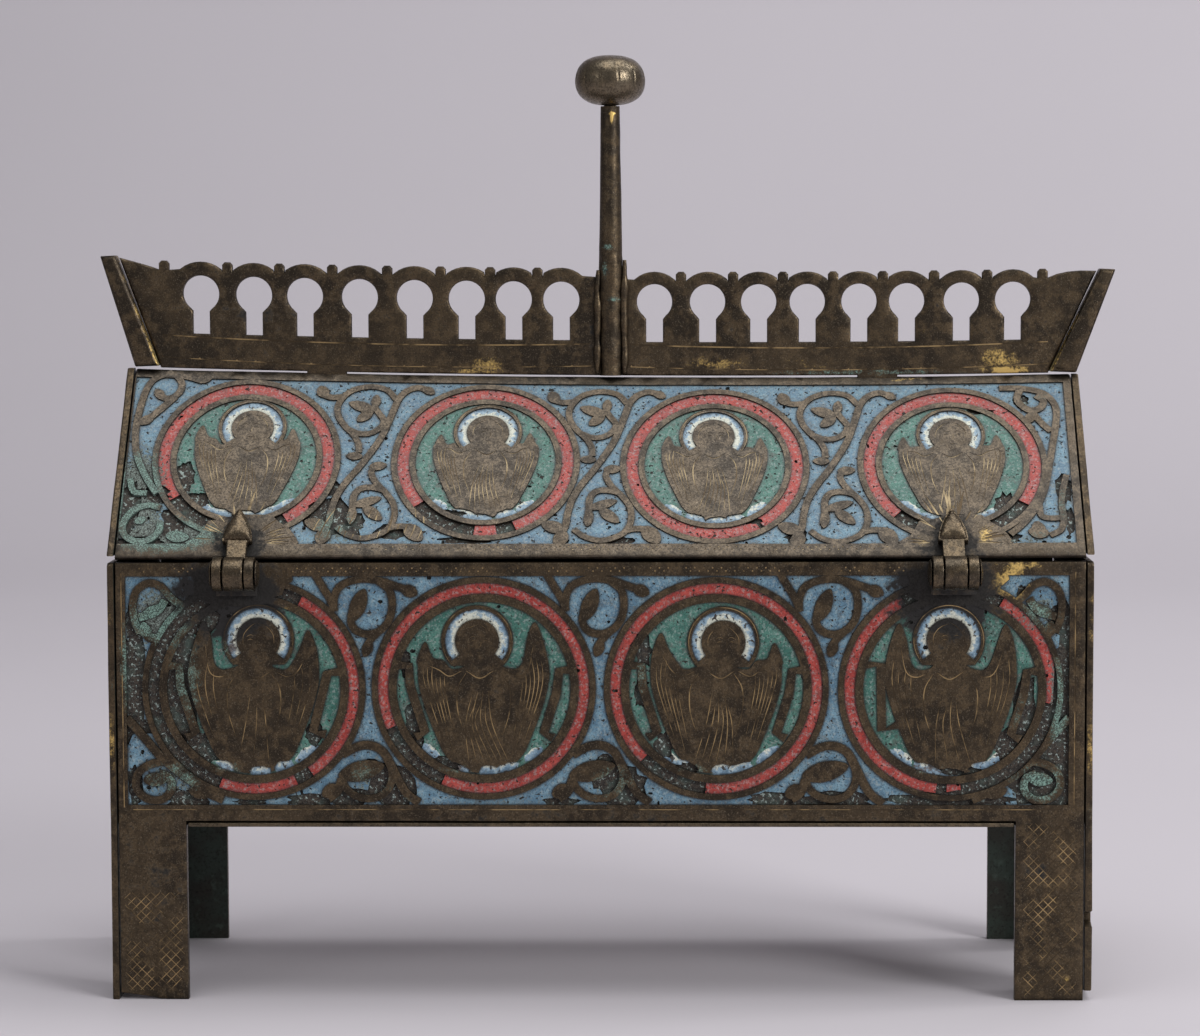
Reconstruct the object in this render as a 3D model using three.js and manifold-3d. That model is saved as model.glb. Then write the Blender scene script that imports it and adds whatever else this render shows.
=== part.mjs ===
// A hinged reliquary casket of gilt and enamelled copper plates: a box on four plate legs, a gabled
// lid hinged at the front, and a pierced crest with a knobbed stem along the ridge.
// Millimetres, +Z up, +X to the right of the front, the front faces -Y.

import * as THREE from "three";
import { mergeVertices } from "three/addons/utils/BufferGeometryUtils.js";
import Module from "manifold-3d";

const wasm = await Module();
wasm.setup();

// Overall sizes
const BODY_LENGTH = 190; // over the two end plates
const BODY_DEPTH = 60; // front face to back face
const LEG_HEIGHT = 35; // floor to the lower edge of the plates
const BODY_TOP = 85.3; // upper edge of the front and end plates
const LID_BOTTOM = 86.6; // eaves of the lid
const RIDGE_HEIGHT = 120.9; // top of the roof plates before the old ridge sank
const TOTAL_HEIGHT = 183.5; // top of the knob

// Sheet metal
const FACE_PLATE = 2; // enamelled front, back and roof plates
const END_PLATE = 1.4; // end and gable plates
const BOTTOM_SHEET = 0.8;
const GAP = 0.3; // seam between two pieces
const SMALLEST_DETAIL = 0.01;
const PAST = 1; // how far a cutting tool passes the metal it cuts

// Facets
const ROUND_SIDES = 20; // of rods, knuckles and the stem
const PIN_SIDES = 16;
const ARC_STEPS = 4;
const ARCH_STEPS = 8;
const CREST_STEPS = 24;
const CORNER_SEGMENTS = 3;

// Legs
const LEG_WIDTH = 13.2; // on the front and back plates
const END_LEG_WIDTH = 12; // on the end plates
const CORNER_ROUND = 1; // upper corners of the end plates
const LEFT_FOOT_WEAR = 1.35; // the left front foot is worn to a slant
const FOOT_FLAT = 4; // the part of that foot that still meets the floor
const RIGHT_END_WEAR = 2; // the right end plate's front foot is short
const CHIP_HEIGHT = 16; // centre of the chip in the right end plate's front leg
const CHIP_WIDTH = 3;
const CHIP_DEPTH = 2.6;

// Ridge: flat on top, sunk in the middle and lower at the right
const RIDGE_FLAT = 1.6;
const RIDGE_SAG = 1.2;
const RIDGE_TILT = 0.85;
const ROOF_STEPS = 16;

// Crest: two runs of keyholes, left and right of the stem
const CREST_PLATE = 1.6;
const TENON = { x: 55, width: 8, depth: 4 };
const KEYHOLE_COUNT = 8; // in each run
const KEYHOLE_SLOT = 3.3; // width of the slot
const KEYHOLE_DROP = 8; // slot bottom to the centre of the round head
const KEYHOLE_SHOULDER = 3.45; // that centre to the corners where the slot starts
const HEAD_STEPS = 18;
const HEAD_OPENING = 80; // degrees of the round head that the shoulders cut off
const ARCH_DROP = 1.6; // arch top to the notch beside a finial
const FINIAL_WIDTH = 2.1;
const FINIAL_HEIGHT = 1.6;
const FINIAL_BEND = 0.65; // share of its height where it starts to round off
const FINIAL_FLAT = 0.5; // width of its blunt top as a share of its own
const FINIAL_NICK = 0.2; // file cut on both sides of a finial's foot
const CREST_CORNER_DROP = 0.5; // the plate's upper corners below the tops of the end bars
const LEFT_RUN = {
  band: 7,
  radius: 3.6,
  arch: 2.8,
  endMargin: 11,
  stemMargin: 9.9,
  handCut: [0, 0.3, 0.2, 0.9, 1.6, 1.7, 0.8, 0], // how far each one strays from an even pitch
  outerFinial: 7.4,
};
const RIGHT_RUN = {
  band: 6.7,
  radius: 3.5,
  arch: 2.5,
  endMargin: 10.1,
  stemMargin: 8.7,
  handCut: [0, 0.4, 0.4, -0.1, 0, -0.7, 0, 0],
  outerFinial: 5.9,
};

// Slanted bars soldered to the crest's ends
const LEFT_BAR = { inset: 3.95, flare: 7.25, height: 22.2, footWidth: 4.9, topWidth: 3.2 };
const RIGHT_BAR = { inset: 3.05, flare: 8.35, height: 20.6, footWidth: 5.4, topWidth: 3.2 };
const BAR_DEPTH = 4.6;
const BAR_BEVEL = 0.8;

// Stem and knob
const STEM_X = 1.9;
const STEM_TOP_RADIUS = 1.95;
const STEM_WAIST_RADIUS = 2.4; // just above the fork
const FORK_RADIUS = 2.7;
const FORK_FOOT_RADIUS = 2.55;
const FORK_HEIGHT = 24; // above the ridge
const FORK_SHOULDER = 4; // where the fork narrows into the stem
const KNOB_WIDTH = 14.2;
const KNOB_HEIGHT = 10.1;
const KNOB_LOBES = 12;
const KNOB_GROOVE = 0.25;
const KNOB_ROWS = 12;
const STEM_TENON_RADIUS = 1.3;
const STEM_TENON_LENGTH = 4;

// Hinges on the front
const LEFT_HINGE = { inset: 25.4, outerKnuckle: 1.7, middleKnuckle: 3.9 };
const RIGHT_HINGE = { inset: 27.1, outerKnuckle: 1.95, middleKnuckle: 4.2 };
const KNUCKLE_RADIUS = 3.3;
const WEB_DROP = 0.6; // web below the axis, as a share of that radius
const HINGE_HEIGHT = 83.6; // axis above the floor
const PIN_RADIUS = 1;
const PIN_CLEARANCE = 0.3;
const PIN_HEAD = { radius: 2.7, height: 0.6 };
const HINGE_PAD = 0.8; // plate behind the knuckles
const PAD_HEIGHT = 6;
const LEAF_THICKNESS = 1.7;
const LEAF_WIDTH = 5.8;
const LEAF_START = 2.2; // up the slope from the eaves
const LEAF_TIP = 10.1;

const halfLength = BODY_LENGTH / 2;
const halfDepth = BODY_DEPTH / 2;
const plateEnd = halfLength - END_PLATE - GAP;
const legInner = plateEnd - LEG_WIDTH;
const roofRun = halfDepth - RIDGE_FLAT / 2;
const roofRise = RIDGE_HEIGHT - LID_BOTTOM;
const roofAngle = Math.atan2(roofRise, roofRun);
const hingeY = -(halfDepth + GAP + HINGE_PAD + GAP + KNUCKLE_RADIUS);

// Finishes
const PATINA = { color: 0x4a3a28, roughness: 0.45, metalness: 0.85 };
const ENAMELLED = { color: 0x4f6f80, roughness: 0.4, metalness: 0.35 };
const GREENED = { color: 0x3c4a40, roughness: 0.6, metalness: 0.6 };

// How far the old ridge stands above or below its first height, at x along the lid.
function ridgeShift(x) {
  const share = x / halfLength;
  return -RIDGE_TILT * share - RIDGE_SAG * (1 - share * share);
}

// Bends a lid piece with the ridge: nothing at the eaves, all of it from the ridge up.
function followRidge(geometry) {
  const position = geometry.getAttribute("position");
  for (let i = 0; i < position.count; i++) {
    const z = position.getZ(i);
    const share = THREE.MathUtils.clamp((z - LID_BOTTOM) / roofRise, 0, 1);
    position.setZ(i, z + share * ridgeShift(position.getX(i)));
  }
  return geometry;
}

function shapeOf(points) {
  return new THREE.Shape(points.map(([a, b]) => new THREE.Vector2(a, b)));
}

// A shape drawn in x and z, from y to y + thickness.
function plateFacingFront(shape, y, thickness, options = {}) {
  const geometry = new THREE.ExtrudeGeometry(shape, {
    depth: thickness,
    bevelEnabled: false,
    ...options,
  });
  return geometry.rotateX(Math.PI / 2).translate(0, y + thickness, 0);
}

// A shape drawn in y and z, from x to x + length.
function plateFacingSide(shape, x, length, steps = 1) {
  const geometry = new THREE.ExtrudeGeometry(shape, {
    depth: length,
    steps,
    bevelEnabled: false,
    curveSegments: ARC_STEPS,
  });
  const turn = new THREE.Matrix4().makeBasis(
    new THREE.Vector3(0, 1, 0),
    new THREE.Vector3(0, 0, 1),
    new THREE.Vector3(1, 0, 0),
  );
  return geometry.applyMatrix4(turn).translate(x, 0, 0);
}

function boxBetween(low, high) {
  const size = high.map((value, i) => value - low[i]);
  const centre = high.map((value, i) => (value + low[i]) / 2);
  return new THREE.BoxGeometry(...size).translate(...centre);
}

// A round bar along x.
function rodAlongX(x0, x1, radius, sides = ROUND_SIDES) {
  const geometry = new THREE.CylinderGeometry(radius, radius, x1 - x0, sides);
  return geometry.rotateZ(Math.PI / 2).translate((x0 + x1) / 2, hingeY, HINGE_HEIGHT);
}

function solidOf(geometry) {
  const bare = geometry.clone();
  bare.deleteAttribute("normal");
  bare.deleteAttribute("uv");
  const merged = mergeVertices(bare, 1e-4);
  return new wasm.Manifold(
    new wasm.Mesh({
      numProp: 3,
      vertProperties: merged.attributes.position.array,
      triVerts: new Uint32Array(merged.index.array),
    }),
  );
}

// Slivers thinner than the smallest detail are merged away.
function geometryOf(solid) {
  const mesh = solid.simplify(SMALLEST_DETAIL).getMesh();
  const geometry = new THREE.BufferGeometry();
  geometry.setAttribute("position", new THREE.BufferAttribute(mesh.vertProperties, 3));
  geometry.setIndex(new THREE.BufferAttribute(mesh.triVerts, 1));
  geometry.computeVertexNormals();
  return geometry;
}

function joined(...geometries) {
  return geometryOf(geometries.map(solidOf).reduce((all, next) => all.add(next)));
}

function cut(geometry, ...tools) {
  return geometryOf(tools.map(solidOf).reduce((left, tool) => left.subtract(tool), solidOf(geometry)));
}

function piece(name, geometry, finish) {
  const mesh = new THREE.Mesh(geometry, new THREE.MeshStandardMaterial(finish));
  mesh.name = name;
  return mesh;
}

// Front or back plate of the body with its two legs, foot wear given at the left.
function facePlateOutline(top, footWear) {
  return shapeOf([
    [-plateEnd, footWear],
    [-legInner - FOOT_FLAT, 0],
    [-legInner, 0],
    [-legInner, LEG_HEIGHT],
    [legInner, LEG_HEIGHT],
    [legInner, 0],
    [plateEnd, 0],
    [plateEnd, top],
    [-plateEnd, top],
  ]);
}

// End plate of the body, front leg at negative y.
function endPlateOutline(frontWear, chipped) {
  const inner = halfDepth - END_LEG_WIDTH;
  const outline = new THREE.Shape();
  outline.moveTo(-halfDepth, frontWear);
  outline.lineTo(-inner, 0);
  outline.lineTo(-inner, LEG_HEIGHT);
  outline.lineTo(inner, LEG_HEIGHT);
  outline.lineTo(inner, 0);
  outline.lineTo(halfDepth, 0);
  outline.lineTo(halfDepth, BODY_TOP - CORNER_ROUND);
  outline.absarc(halfDepth - CORNER_ROUND, BODY_TOP - CORNER_ROUND, CORNER_ROUND, 0, Math.PI / 2);
  outline.lineTo(-halfDepth + CORNER_ROUND, BODY_TOP);
  outline.absarc(-halfDepth + CORNER_ROUND, BODY_TOP - CORNER_ROUND, CORNER_ROUND, Math.PI / 2, Math.PI);
  if (chipped) {
    outline.lineTo(-halfDepth, CHIP_HEIGHT + CHIP_WIDTH / 2);
    outline.lineTo(-halfDepth + CHIP_DEPTH, CHIP_HEIGHT + CHIP_WIDTH / 4);
    outline.lineTo(-halfDepth + CHIP_DEPTH, CHIP_HEIGHT - CHIP_WIDTH / 4);
    outline.lineTo(-halfDepth, CHIP_HEIGHT - CHIP_WIDTH / 2);
  }
  return outline;
}

// The bottom sheet lies under the plates' lower edges and is notched around the four legs.
function bottomSheet() {
  const inset = 0.2;
  const endLegInner = halfDepth - END_LEG_WIDTH;
  const corner = [
    [halfLength - inset, 0],
    [halfLength - inset, endLegInner - GAP],
    [plateEnd, endLegInner - GAP],
    [plateEnd, halfDepth - FACE_PLATE - GAP],
    [legInner - GAP, halfDepth - FACE_PLATE - GAP],
    [legInner - GAP, halfDepth - inset],
  ];
  const backwards = corner.slice(1).reverse();
  const outline = shapeOf([
    ...corner,
    ...backwards.map(([x, y]) => [-x, y]),
    ...corner.map(([x, y]) => [-x, -y]),
    ...backwards.map(([x, y]) => [x, -y]),
  ]);
  const geometry = new THREE.ExtrudeGeometry(outline, { depth: BOTTOM_SHEET, bevelEnabled: false });
  return geometry.translate(0, 0, LEG_HEIGHT - GAP - BOTTOM_SHEET);
}

// One slope of the roof, side -1 at the front and 1 at the back: eaves cut level, ridge cut upright.
function roofPlate(side) {
  const eaveWidth = FACE_PLATE / Math.sin(roofAngle);
  const seam = GAP / 2;
  const innerTop = LID_BOTTOM + (halfDepth - eaveWidth - seam) * Math.tan(roofAngle);
  const profile = shapeOf(
    [
      [halfDepth, LID_BOTTOM],
      [RIDGE_FLAT / 2, RIDGE_HEIGHT],
      [seam, RIDGE_HEIGHT],
      [seam, innerTop],
      [halfDepth - eaveWidth, LID_BOTTOM],
    ].map(([y, z]) => [side * y, z]),
  );
  const slope = followRidge(plateFacingSide(profile, -plateEnd, 2 * plateEnd, ROOF_STEPS));
  const reach = CREST_PLATE / 2 + GAP;
  const notches = [-TENON.x, TENON.x].map((x) =>
    boxBetween(
      [x - TENON.width / 2 - GAP, -reach, RIDGE_HEIGHT - 2 * TENON.depth],
      [x + TENON.width / 2 + GAP, reach, RIDGE_HEIGHT + TENON.depth],
    ),
  );
  return cut(slope, ...notches);
}

function gablePlate(x) {
  const outline = shapeOf([
    [-halfDepth, LID_BOTTOM],
    [halfDepth, LID_BOTTOM],
    [RIDGE_FLAT / 2, RIDGE_HEIGHT],
    [-RIDGE_FLAT / 2, RIDGE_HEIGHT],
  ]);
  return followRidge(plateFacingSide(outline, x, END_PLATE));
}

// Where a bar's centre line stands: side -1 at the left, 1 at the right.
function barEdge(bar, side, share, towardsStem) {
  const centre = halfLength - bar.inset + bar.flare * share;
  const width = THREE.MathUtils.lerp(bar.footWidth, bar.topWidth, share);
  return side * (centre - (towardsStem * width) / 2);
}

function endBar(bar, side) {
  const shrink = BAR_BEVEL;
  const outline = shapeOf([
    [barEdge(bar, side, 0, -1) - side * shrink, shrink],
    [barEdge(bar, side, 0, 1) + side * shrink, shrink],
    [barEdge(bar, side, 1, 1) + side * shrink, bar.height - shrink],
    [barEdge(bar, side, 1, -1) - side * shrink, bar.height - shrink],
  ]);
  const geometry = plateFacingFront(outline, -BAR_DEPTH / 2, BAR_DEPTH - 2 * BAR_BEVEL, {
    bevelEnabled: true,
    bevelThickness: BAR_BEVEL,
    bevelSize: BAR_BEVEL,
    bevelSegments: CORNER_SEGMENTS,
  });
  geometry.translate(0, BAR_BEVEL, RIDGE_HEIGHT + GAP + ridgeShift(side * halfLength));
  return geometry;
}

// Centres of one run's keyholes from left to right.
function keyholeCentres(run, outerX, innerX) {
  const first = Math.min(outerX, innerX);
  const pitch = Math.abs(outerX - innerX) / (KEYHOLE_COUNT - 1);
  return run.handCut.map((stray, i) => first + i * pitch + stray);
}

function keyholePath(x, run) {
  const z = run.band + KEYHOLE_DROP;
  const start = THREE.MathUtils.degToRad(-90 + HEAD_OPENING / 2);
  const end = THREE.MathUtils.degToRad(270 - HEAD_OPENING / 2);
  const path = new THREE.Path();
  path.absarc(x, z, run.radius, start, end);
  path.lineTo(x - KEYHOLE_SLOT / 2, z - KEYHOLE_SHOULDER);
  path.lineTo(x - KEYHOLE_SLOT / 2, run.band);
  path.lineTo(x + KEYHOLE_SLOT / 2, run.band);
  path.lineTo(x + KEYHOLE_SLOT / 2, z - KEYHOLE_SHOULDER);
  return path;
}

// The arch over a keyhole, from left to right, stopping short of the finials at leftX and rightX.
function archPoints(x, run, leftX, rightX) {
  const radius = run.radius + run.arch;
  const widest = Math.sqrt(radius ** 2 - (radius - ARCH_DROP) ** 2);
  const clear = FINIAL_WIDTH / 2 + FINIAL_NICK;
  const from = Math.max(-widest, leftX + clear - x);
  const to = Math.min(widest, rightX - clear - x);
  return Array.from({ length: ARCH_STEPS + 1 }, (_, i) => {
    const across = THREE.MathUtils.lerp(from, to, i / ARCH_STEPS);
    return [x + across, run.band + KEYHOLE_DROP + Math.sqrt(radius ** 2 - across ** 2)];
  });
}

function finialPoints(x, run) {
  const notch = run.band + KEYHOLE_DROP + run.radius + run.arch - ARCH_DROP;
  const half = FINIAL_WIDTH / 2;
  const top = half * FINIAL_FLAT;
  const side = notch + FINIAL_HEIGHT * FINIAL_BEND;
  return [
    [x - half, notch - FINIAL_NICK],
    [x - half, side],
    [x - top, notch + FINIAL_HEIGHT],
    [x + top, notch + FINIAL_HEIGHT],
    [x + half, side],
    [x + half, notch - FINIAL_NICK],
  ];
}

// Upper edge over one run, with its finials, from left to right. The outer finial is at outerFinialX.
function runEdge(run, centres, outerFinialX, outerIsLeft) {
  const points = [];
  centres.forEach((x, i) => {
    const last = i === centres.length - 1;
    const leftX = i === 0 ? (outerIsLeft ? outerFinialX : -Infinity) : (centres[i - 1] + x) / 2;
    const rightX = last ? (outerIsLeft ? Infinity : outerFinialX) : (x + centres[i + 1]) / 2;
    if (Number.isFinite(leftX)) points.push(...finialPoints(leftX, run));
    points.push(...archPoints(x, run, leftX, rightX));
    if (last && Number.isFinite(rightX)) points.push(...finialPoints(rightX, run));
  });
  return points;
}

function curvePoints(from, control, to, steps) {
  const vectors = [from, control, to].map(([x, z]) => new THREE.Vector2(x, z));
  return new THREE.QuadraticBezierCurve(...vectors).getPoints(steps).map((p) => [p.x, p.y]);
}

// Lower edge of the crest from left to right, with its two tenons.
function crestFoot(fromX, toX) {
  const clear = TENON.width / 2 + GAP;
  const points = [];
  for (let i = 0; i <= CREST_STEPS; i++) {
    const x = THREE.MathUtils.lerp(fromX, toX, i / CREST_STEPS);
    if (Math.abs(Math.abs(x) - TENON.x) > clear) points.push([x, 0]);
  }
  for (const x of [-TENON.x, TENON.x]) {
    points.push(
      [x - TENON.width / 2, 0],
      [x - TENON.width / 2, -TENON.depth - GAP],
      [x + TENON.width / 2, -TENON.depth - GAP],
      [x + TENON.width / 2, 0],
    );
  }
  return points.map((point, order) => ({ point, order })).sort(byPlaceAlong).map((entry) => entry.point);
}

// A point of the crest, drawn above a straight ridge and moved onto the sunken one.
function onRidge([x, z]) {
  return [x, z + RIDGE_HEIGHT + GAP + ridgeShift(x)];
}

function byPlaceAlong(a, b) {
  return a.point[0] - b.point[0] || a.order - b.order;
}

function crest() {
  const leftCentres = keyholeCentres(
    LEFT_RUN,
    -(halfLength - LEFT_BAR.inset - LEFT_RUN.endMargin),
    STEM_X - LEFT_RUN.stemMargin,
  );
  const rightCentres = keyholeCentres(
    RIGHT_RUN,
    halfLength - RIGHT_BAR.inset - RIGHT_RUN.endMargin,
    STEM_X + RIGHT_RUN.stemMargin,
  );
  const leftFinial = leftCentres[0] - LEFT_RUN.outerFinial;
  const rightFinial = rightCentres.at(-1) + RIGHT_RUN.outerFinial;
  const leftEdge = runEdge(LEFT_RUN, leftCentres, leftFinial, true);
  const rightEdge = runEdge(RIGHT_RUN, rightCentres, rightFinial, false);

  const leftTop = [barEdge(LEFT_BAR, -1, 1, 1) + GAP, LEFT_BAR.height - CREST_CORNER_DROP];
  const rightTop = [barEdge(RIGHT_BAR, 1, 1, 1) - GAP, RIGHT_BAR.height - CREST_CORNER_DROP];
  const leftPull = [leftFinial - FINIAL_WIDTH, leftEdge[0][1] + CREST_CORNER_DROP];
  const rightPull = [rightFinial + 2 * FINIAL_WIDTH, rightTop[1] + CREST_CORNER_DROP];
  const leftEnd = curvePoints(leftTop, leftPull, leftEdge[0], ARC_STEPS);
  const rightEnd = curvePoints(rightEdge.at(-1), rightPull, rightTop, ARC_STEPS);

  const topEdge = [...leftEnd.slice(0, -1), ...leftEdge, ...rightEdge, ...rightEnd.slice(1)];
  const foot = crestFoot(barEdge(LEFT_BAR, -1, 0, 1) + GAP, barEdge(RIGHT_BAR, 1, 0, 1) - GAP);
  const outline = shapeOf([...foot, ...topEdge.reverse()].map(onRidge));
  const keyholes = [
    ...leftCentres.map((x) => keyholePath(x, LEFT_RUN)),
    ...rightCentres.map((x) => keyholePath(x, RIGHT_RUN)),
  ];
  for (const keyhole of keyholes) {
    const points = keyhole.getPoints(HEAD_STEPS).map(({ x, y }) => onRidge([x, y]));
    outline.holes.push(shapeOf(points));
  }
  return joined(plateFacingFront(outline, -CREST_PLATE / 2, CREST_PLATE));
}

// Tapered stem: a fork over the crest below, a tenon for the knob above.
function stem() {
  const foot = RIDGE_HEIGHT + ridgeShift(STEM_X) + GAP;
  const forkTop = foot + FORK_HEIGHT;
  const shoulder = TOTAL_HEIGHT - KNOB_HEIGHT - GAP;
  const profile = [
    [0, foot],
    [FORK_FOOT_RADIUS, foot],
    [FORK_RADIUS, forkTop - FORK_SHOULDER],
    [STEM_WAIST_RADIUS, forkTop],
    [STEM_TOP_RADIUS, shoulder],
    [STEM_TENON_RADIUS, shoulder],
    [STEM_TENON_RADIUS, shoulder + STEM_TENON_LENGTH],
    [0, shoulder + STEM_TENON_LENGTH],
  ].map(([radius, z]) => new THREE.Vector2(radius, z));
  const rod = new THREE.LatheGeometry(profile, ROUND_SIDES).rotateX(Math.PI / 2).translate(STEM_X, 0, 0);
  const crestTop = LEFT_RUN.band + KEYHOLE_DROP + LEFT_RUN.radius + LEFT_RUN.arch;
  const reach = CREST_PLATE / 2 + GAP;
  const slot = boxBetween(
    [STEM_X - 2 * FORK_RADIUS, -reach, foot - PAST],
    [STEM_X + 2 * FORK_RADIUS, reach, foot + crestTop + GAP],
  );
  return cut(rod, slot);
}

// Flattened melon knob, pierced from below for the stem's tenon.
function knob() {
  const centreZ = TOTAL_HEIGHT - KNOB_HEIGHT / 2;
  const melon = new THREE.SphereGeometry(1, 4 * KNOB_LOBES, KNOB_ROWS).rotateX(Math.PI / 2);
  const position = melon.getAttribute("position");
  for (let i = 0; i < position.count; i++) {
    const [x, y, z] = [position.getX(i), position.getY(i), position.getZ(i)];
    const around = Math.hypot(x, y);
    const groove = KNOB_GROOVE * around ** 2 * (0.5 - 0.5 * Math.cos(KNOB_LOBES * Math.atan2(y, x)));
    const scale = KNOB_WIDTH / 2 - groove;
    position.setXYZ(i, x * scale, y * scale, (z * KNOB_HEIGHT) / 2);
  }
  melon.translate(STEM_X, 0, centreZ);
  const bore = STEM_TENON_RADIUS + GAP;
  const length = STEM_TENON_LENGTH + 2 * PAST;
  const socket = new THREE.CylinderGeometry(bore, bore, length, PIN_SIDES);
  const socketTop = TOTAL_HEIGHT - KNOB_HEIGHT + STEM_TENON_LENGTH;
  socket.rotateX(Math.PI / 2).translate(STEM_X, 0, socketTop - length / 2);
  return cut(melon, socket);
}

// Outline of a hinge's leaf, x across and y up the slope: a pointed tongue on a narrower strap.
function leafOutline(strapHalf, strapFoot) {
  const half = LEAF_WIDTH / 2;
  const bulge = THREE.MathUtils.lerp(LEAF_START, LEAF_TIP, 0.5);
  const outline = new THREE.Shape();
  outline.moveTo(-half, LEAF_START);
  outline.quadraticCurveTo(-half, bulge, 0, LEAF_TIP);
  outline.quadraticCurveTo(half, bulge, half, LEAF_START);
  outline.lineTo(strapHalf, LEAF_START);
  outline.lineTo(strapHalf, strapFoot);
  outline.lineTo(-strapHalf, strapFoot);
  outline.lineTo(-strapHalf, LEAF_START);
  return outline;
}

// Rounded head of a hinge pin, its flat side at x and its dome towards side -1 or 1.
function pinHead(x, side) {
  const profile = [new THREE.Vector2(0, 0)];
  for (let i = 0; i <= ARC_STEPS; i++) {
    const turn = (i / ARC_STEPS) * (Math.PI / 2);
    profile.push(
      new THREE.Vector2(
        i === ARC_STEPS ? 0 : PIN_HEAD.radius * Math.cos(turn),
        PIN_HEAD.height * Math.sin(turn),
      ),
    );
  }
  const dome = new THREE.LatheGeometry(profile, ROUND_SIDES).rotateZ((-side * Math.PI) / 2);
  return dome.translate(x, hingeY, HINGE_HEIGHT);
}

function hinge(name, sizes, side) {
  const x = side * (halfLength - sizes.inset);
  const middle = sizes.middleKnuckle / 2;
  const inner = middle + GAP;
  const outer = inner + sizes.outerKnuckle;
  const bore = PIN_RADIUS + PIN_CLEARANCE;

  const padBack = -(halfDepth + GAP);
  const padTop = BODY_TOP - GAP;
  const pad = boxBetween(
    [x - outer, padBack - HINGE_PAD, padTop - PAD_HEIGHT],
    [x + outer, padBack, padTop],
  );
  const bodyLeaf = cut(
    joined(
      pad,
      ...[-1, 1].flatMap((end) => {
        const [x0, x1] = [x + end * inner, x + end * outer].sort((a, b) => a - b);
        const web = boxBetween(
          [x0, hingeY, HINGE_HEIGHT - KNUCKLE_RADIUS * WEB_DROP],
          [x1, padBack - HINGE_PAD / 2, padTop],
        );
        return [rodAlongX(x0, x1, KNUCKLE_RADIUS), web];
      }),
    ),
    rodAlongX(x - outer - PAST, x + outer + PAST, bore),
  );

  // The leaf lies on the roof, and its strap runs straight down into the middle knuckle.
  const axisAlongSlope =
    (hingeY + halfDepth) * Math.cos(roofAngle) + (HINGE_HEIGHT - LID_BOTTOM) * Math.sin(roofAngle);
  const outline = leafOutline(middle, axisAlongSlope);
  const tongue = new THREE.ExtrudeGeometry(outline, { depth: LEAF_THICKNESS, bevelEnabled: false });
  tongue.translate(0, 0, GAP).rotateX(roofAngle).translate(x, -halfDepth, LID_BOTTOM);
  const roofLeaf = cut(
    joined(followRidge(tongue), rodAlongX(x - middle, x + middle, KNUCKLE_RADIUS)),
    rodAlongX(x - middle - PAST, x + middle + PAST, bore),
  );

  const headSeat = outer + GAP;
  const shaftEnd = headSeat + PIN_HEAD.height / 2;
  const pin = joined(
    rodAlongX(x - shaftEnd, x + shaftEnd, PIN_RADIUS, PIN_SIDES),
    pinHead(x - headSeat, -1),
    pinHead(x + headSeat, 1),
  );

  return [
    piece(`${name}_hinge_body_leaf`, bodyLeaf, PATINA),
    piece(`${name}_hinge_roof_leaf`, roofLeaf, PATINA),
    piece(`${name}_hinge_pin`, pin, PATINA),
  ];
}

function body() {
  const group = new THREE.Group();
  const backTop = LID_BOTTOM - GAP; // the closed lid rests along the back
  const front = plateFacingFront(facePlateOutline(BODY_TOP, LEFT_FOOT_WEAR), -halfDepth, FACE_PLATE);
  const back = plateFacingFront(facePlateOutline(backTop, 0), halfDepth - FACE_PLATE, FACE_PLATE);
  const left = plateFacingSide(endPlateOutline(0, false), -halfLength, END_PLATE);
  const right = plateFacingSide(
    endPlateOutline(RIGHT_END_WEAR, true),
    halfLength - END_PLATE,
    END_PLATE,
  );
  group.add(
    piece("front_plate", front, ENAMELLED),
    piece("back_plate", back, ENAMELLED),
    piece("left_end_plate", left, PATINA),
    piece("right_end_plate", right, PATINA),
    piece("bottom_sheet", bottomSheet(), GREENED),
  );
  return group;
}

function lid() {
  const group = new THREE.Group();
  group.add(
    piece("roof_front_plate", roofPlate(-1), ENAMELLED),
    piece("roof_back_plate", roofPlate(1), ENAMELLED),
    piece("left_gable_plate", gablePlate(-halfLength), PATINA),
    piece("right_gable_plate", gablePlate(halfLength - END_PLATE), PATINA),
    piece("crest", crest(), PATINA),
    piece("crest_left_bar", endBar(LEFT_BAR, -1), PATINA),
    piece("crest_right_bar", endBar(RIGHT_BAR, 1), PATINA),
    piece("stem", stem(), PATINA),
    piece("knob", knob(), PATINA),
  );
  return group;
}

const casket = new THREE.Group();
casket.add(body(), lid(), ...hinge("left", LEFT_HINGE, -1), ...hinge("right", RIGHT_HINGE, 1));

// The origin is the centre of the footprint of the whole casket, on the floor.
const bounds = new THREE.Box3().setFromObject(casket);
casket.position.set(-(bounds.min.x + bounds.max.x) / 2, -(bounds.min.y + bounds.max.y) / 2, 0);

export default casket;
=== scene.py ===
"""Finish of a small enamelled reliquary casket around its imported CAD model.

A drawing on a plate is in millimetres, as seen from outside: across to the right, then up.
Depths run from the plate's outer surface into the metal.
"""

import math

import bmesh
import bpy
import numpy as np
from mathutils import Matrix, Vector
from mathutils.geometry import delaunay_2d_cdt


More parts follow.
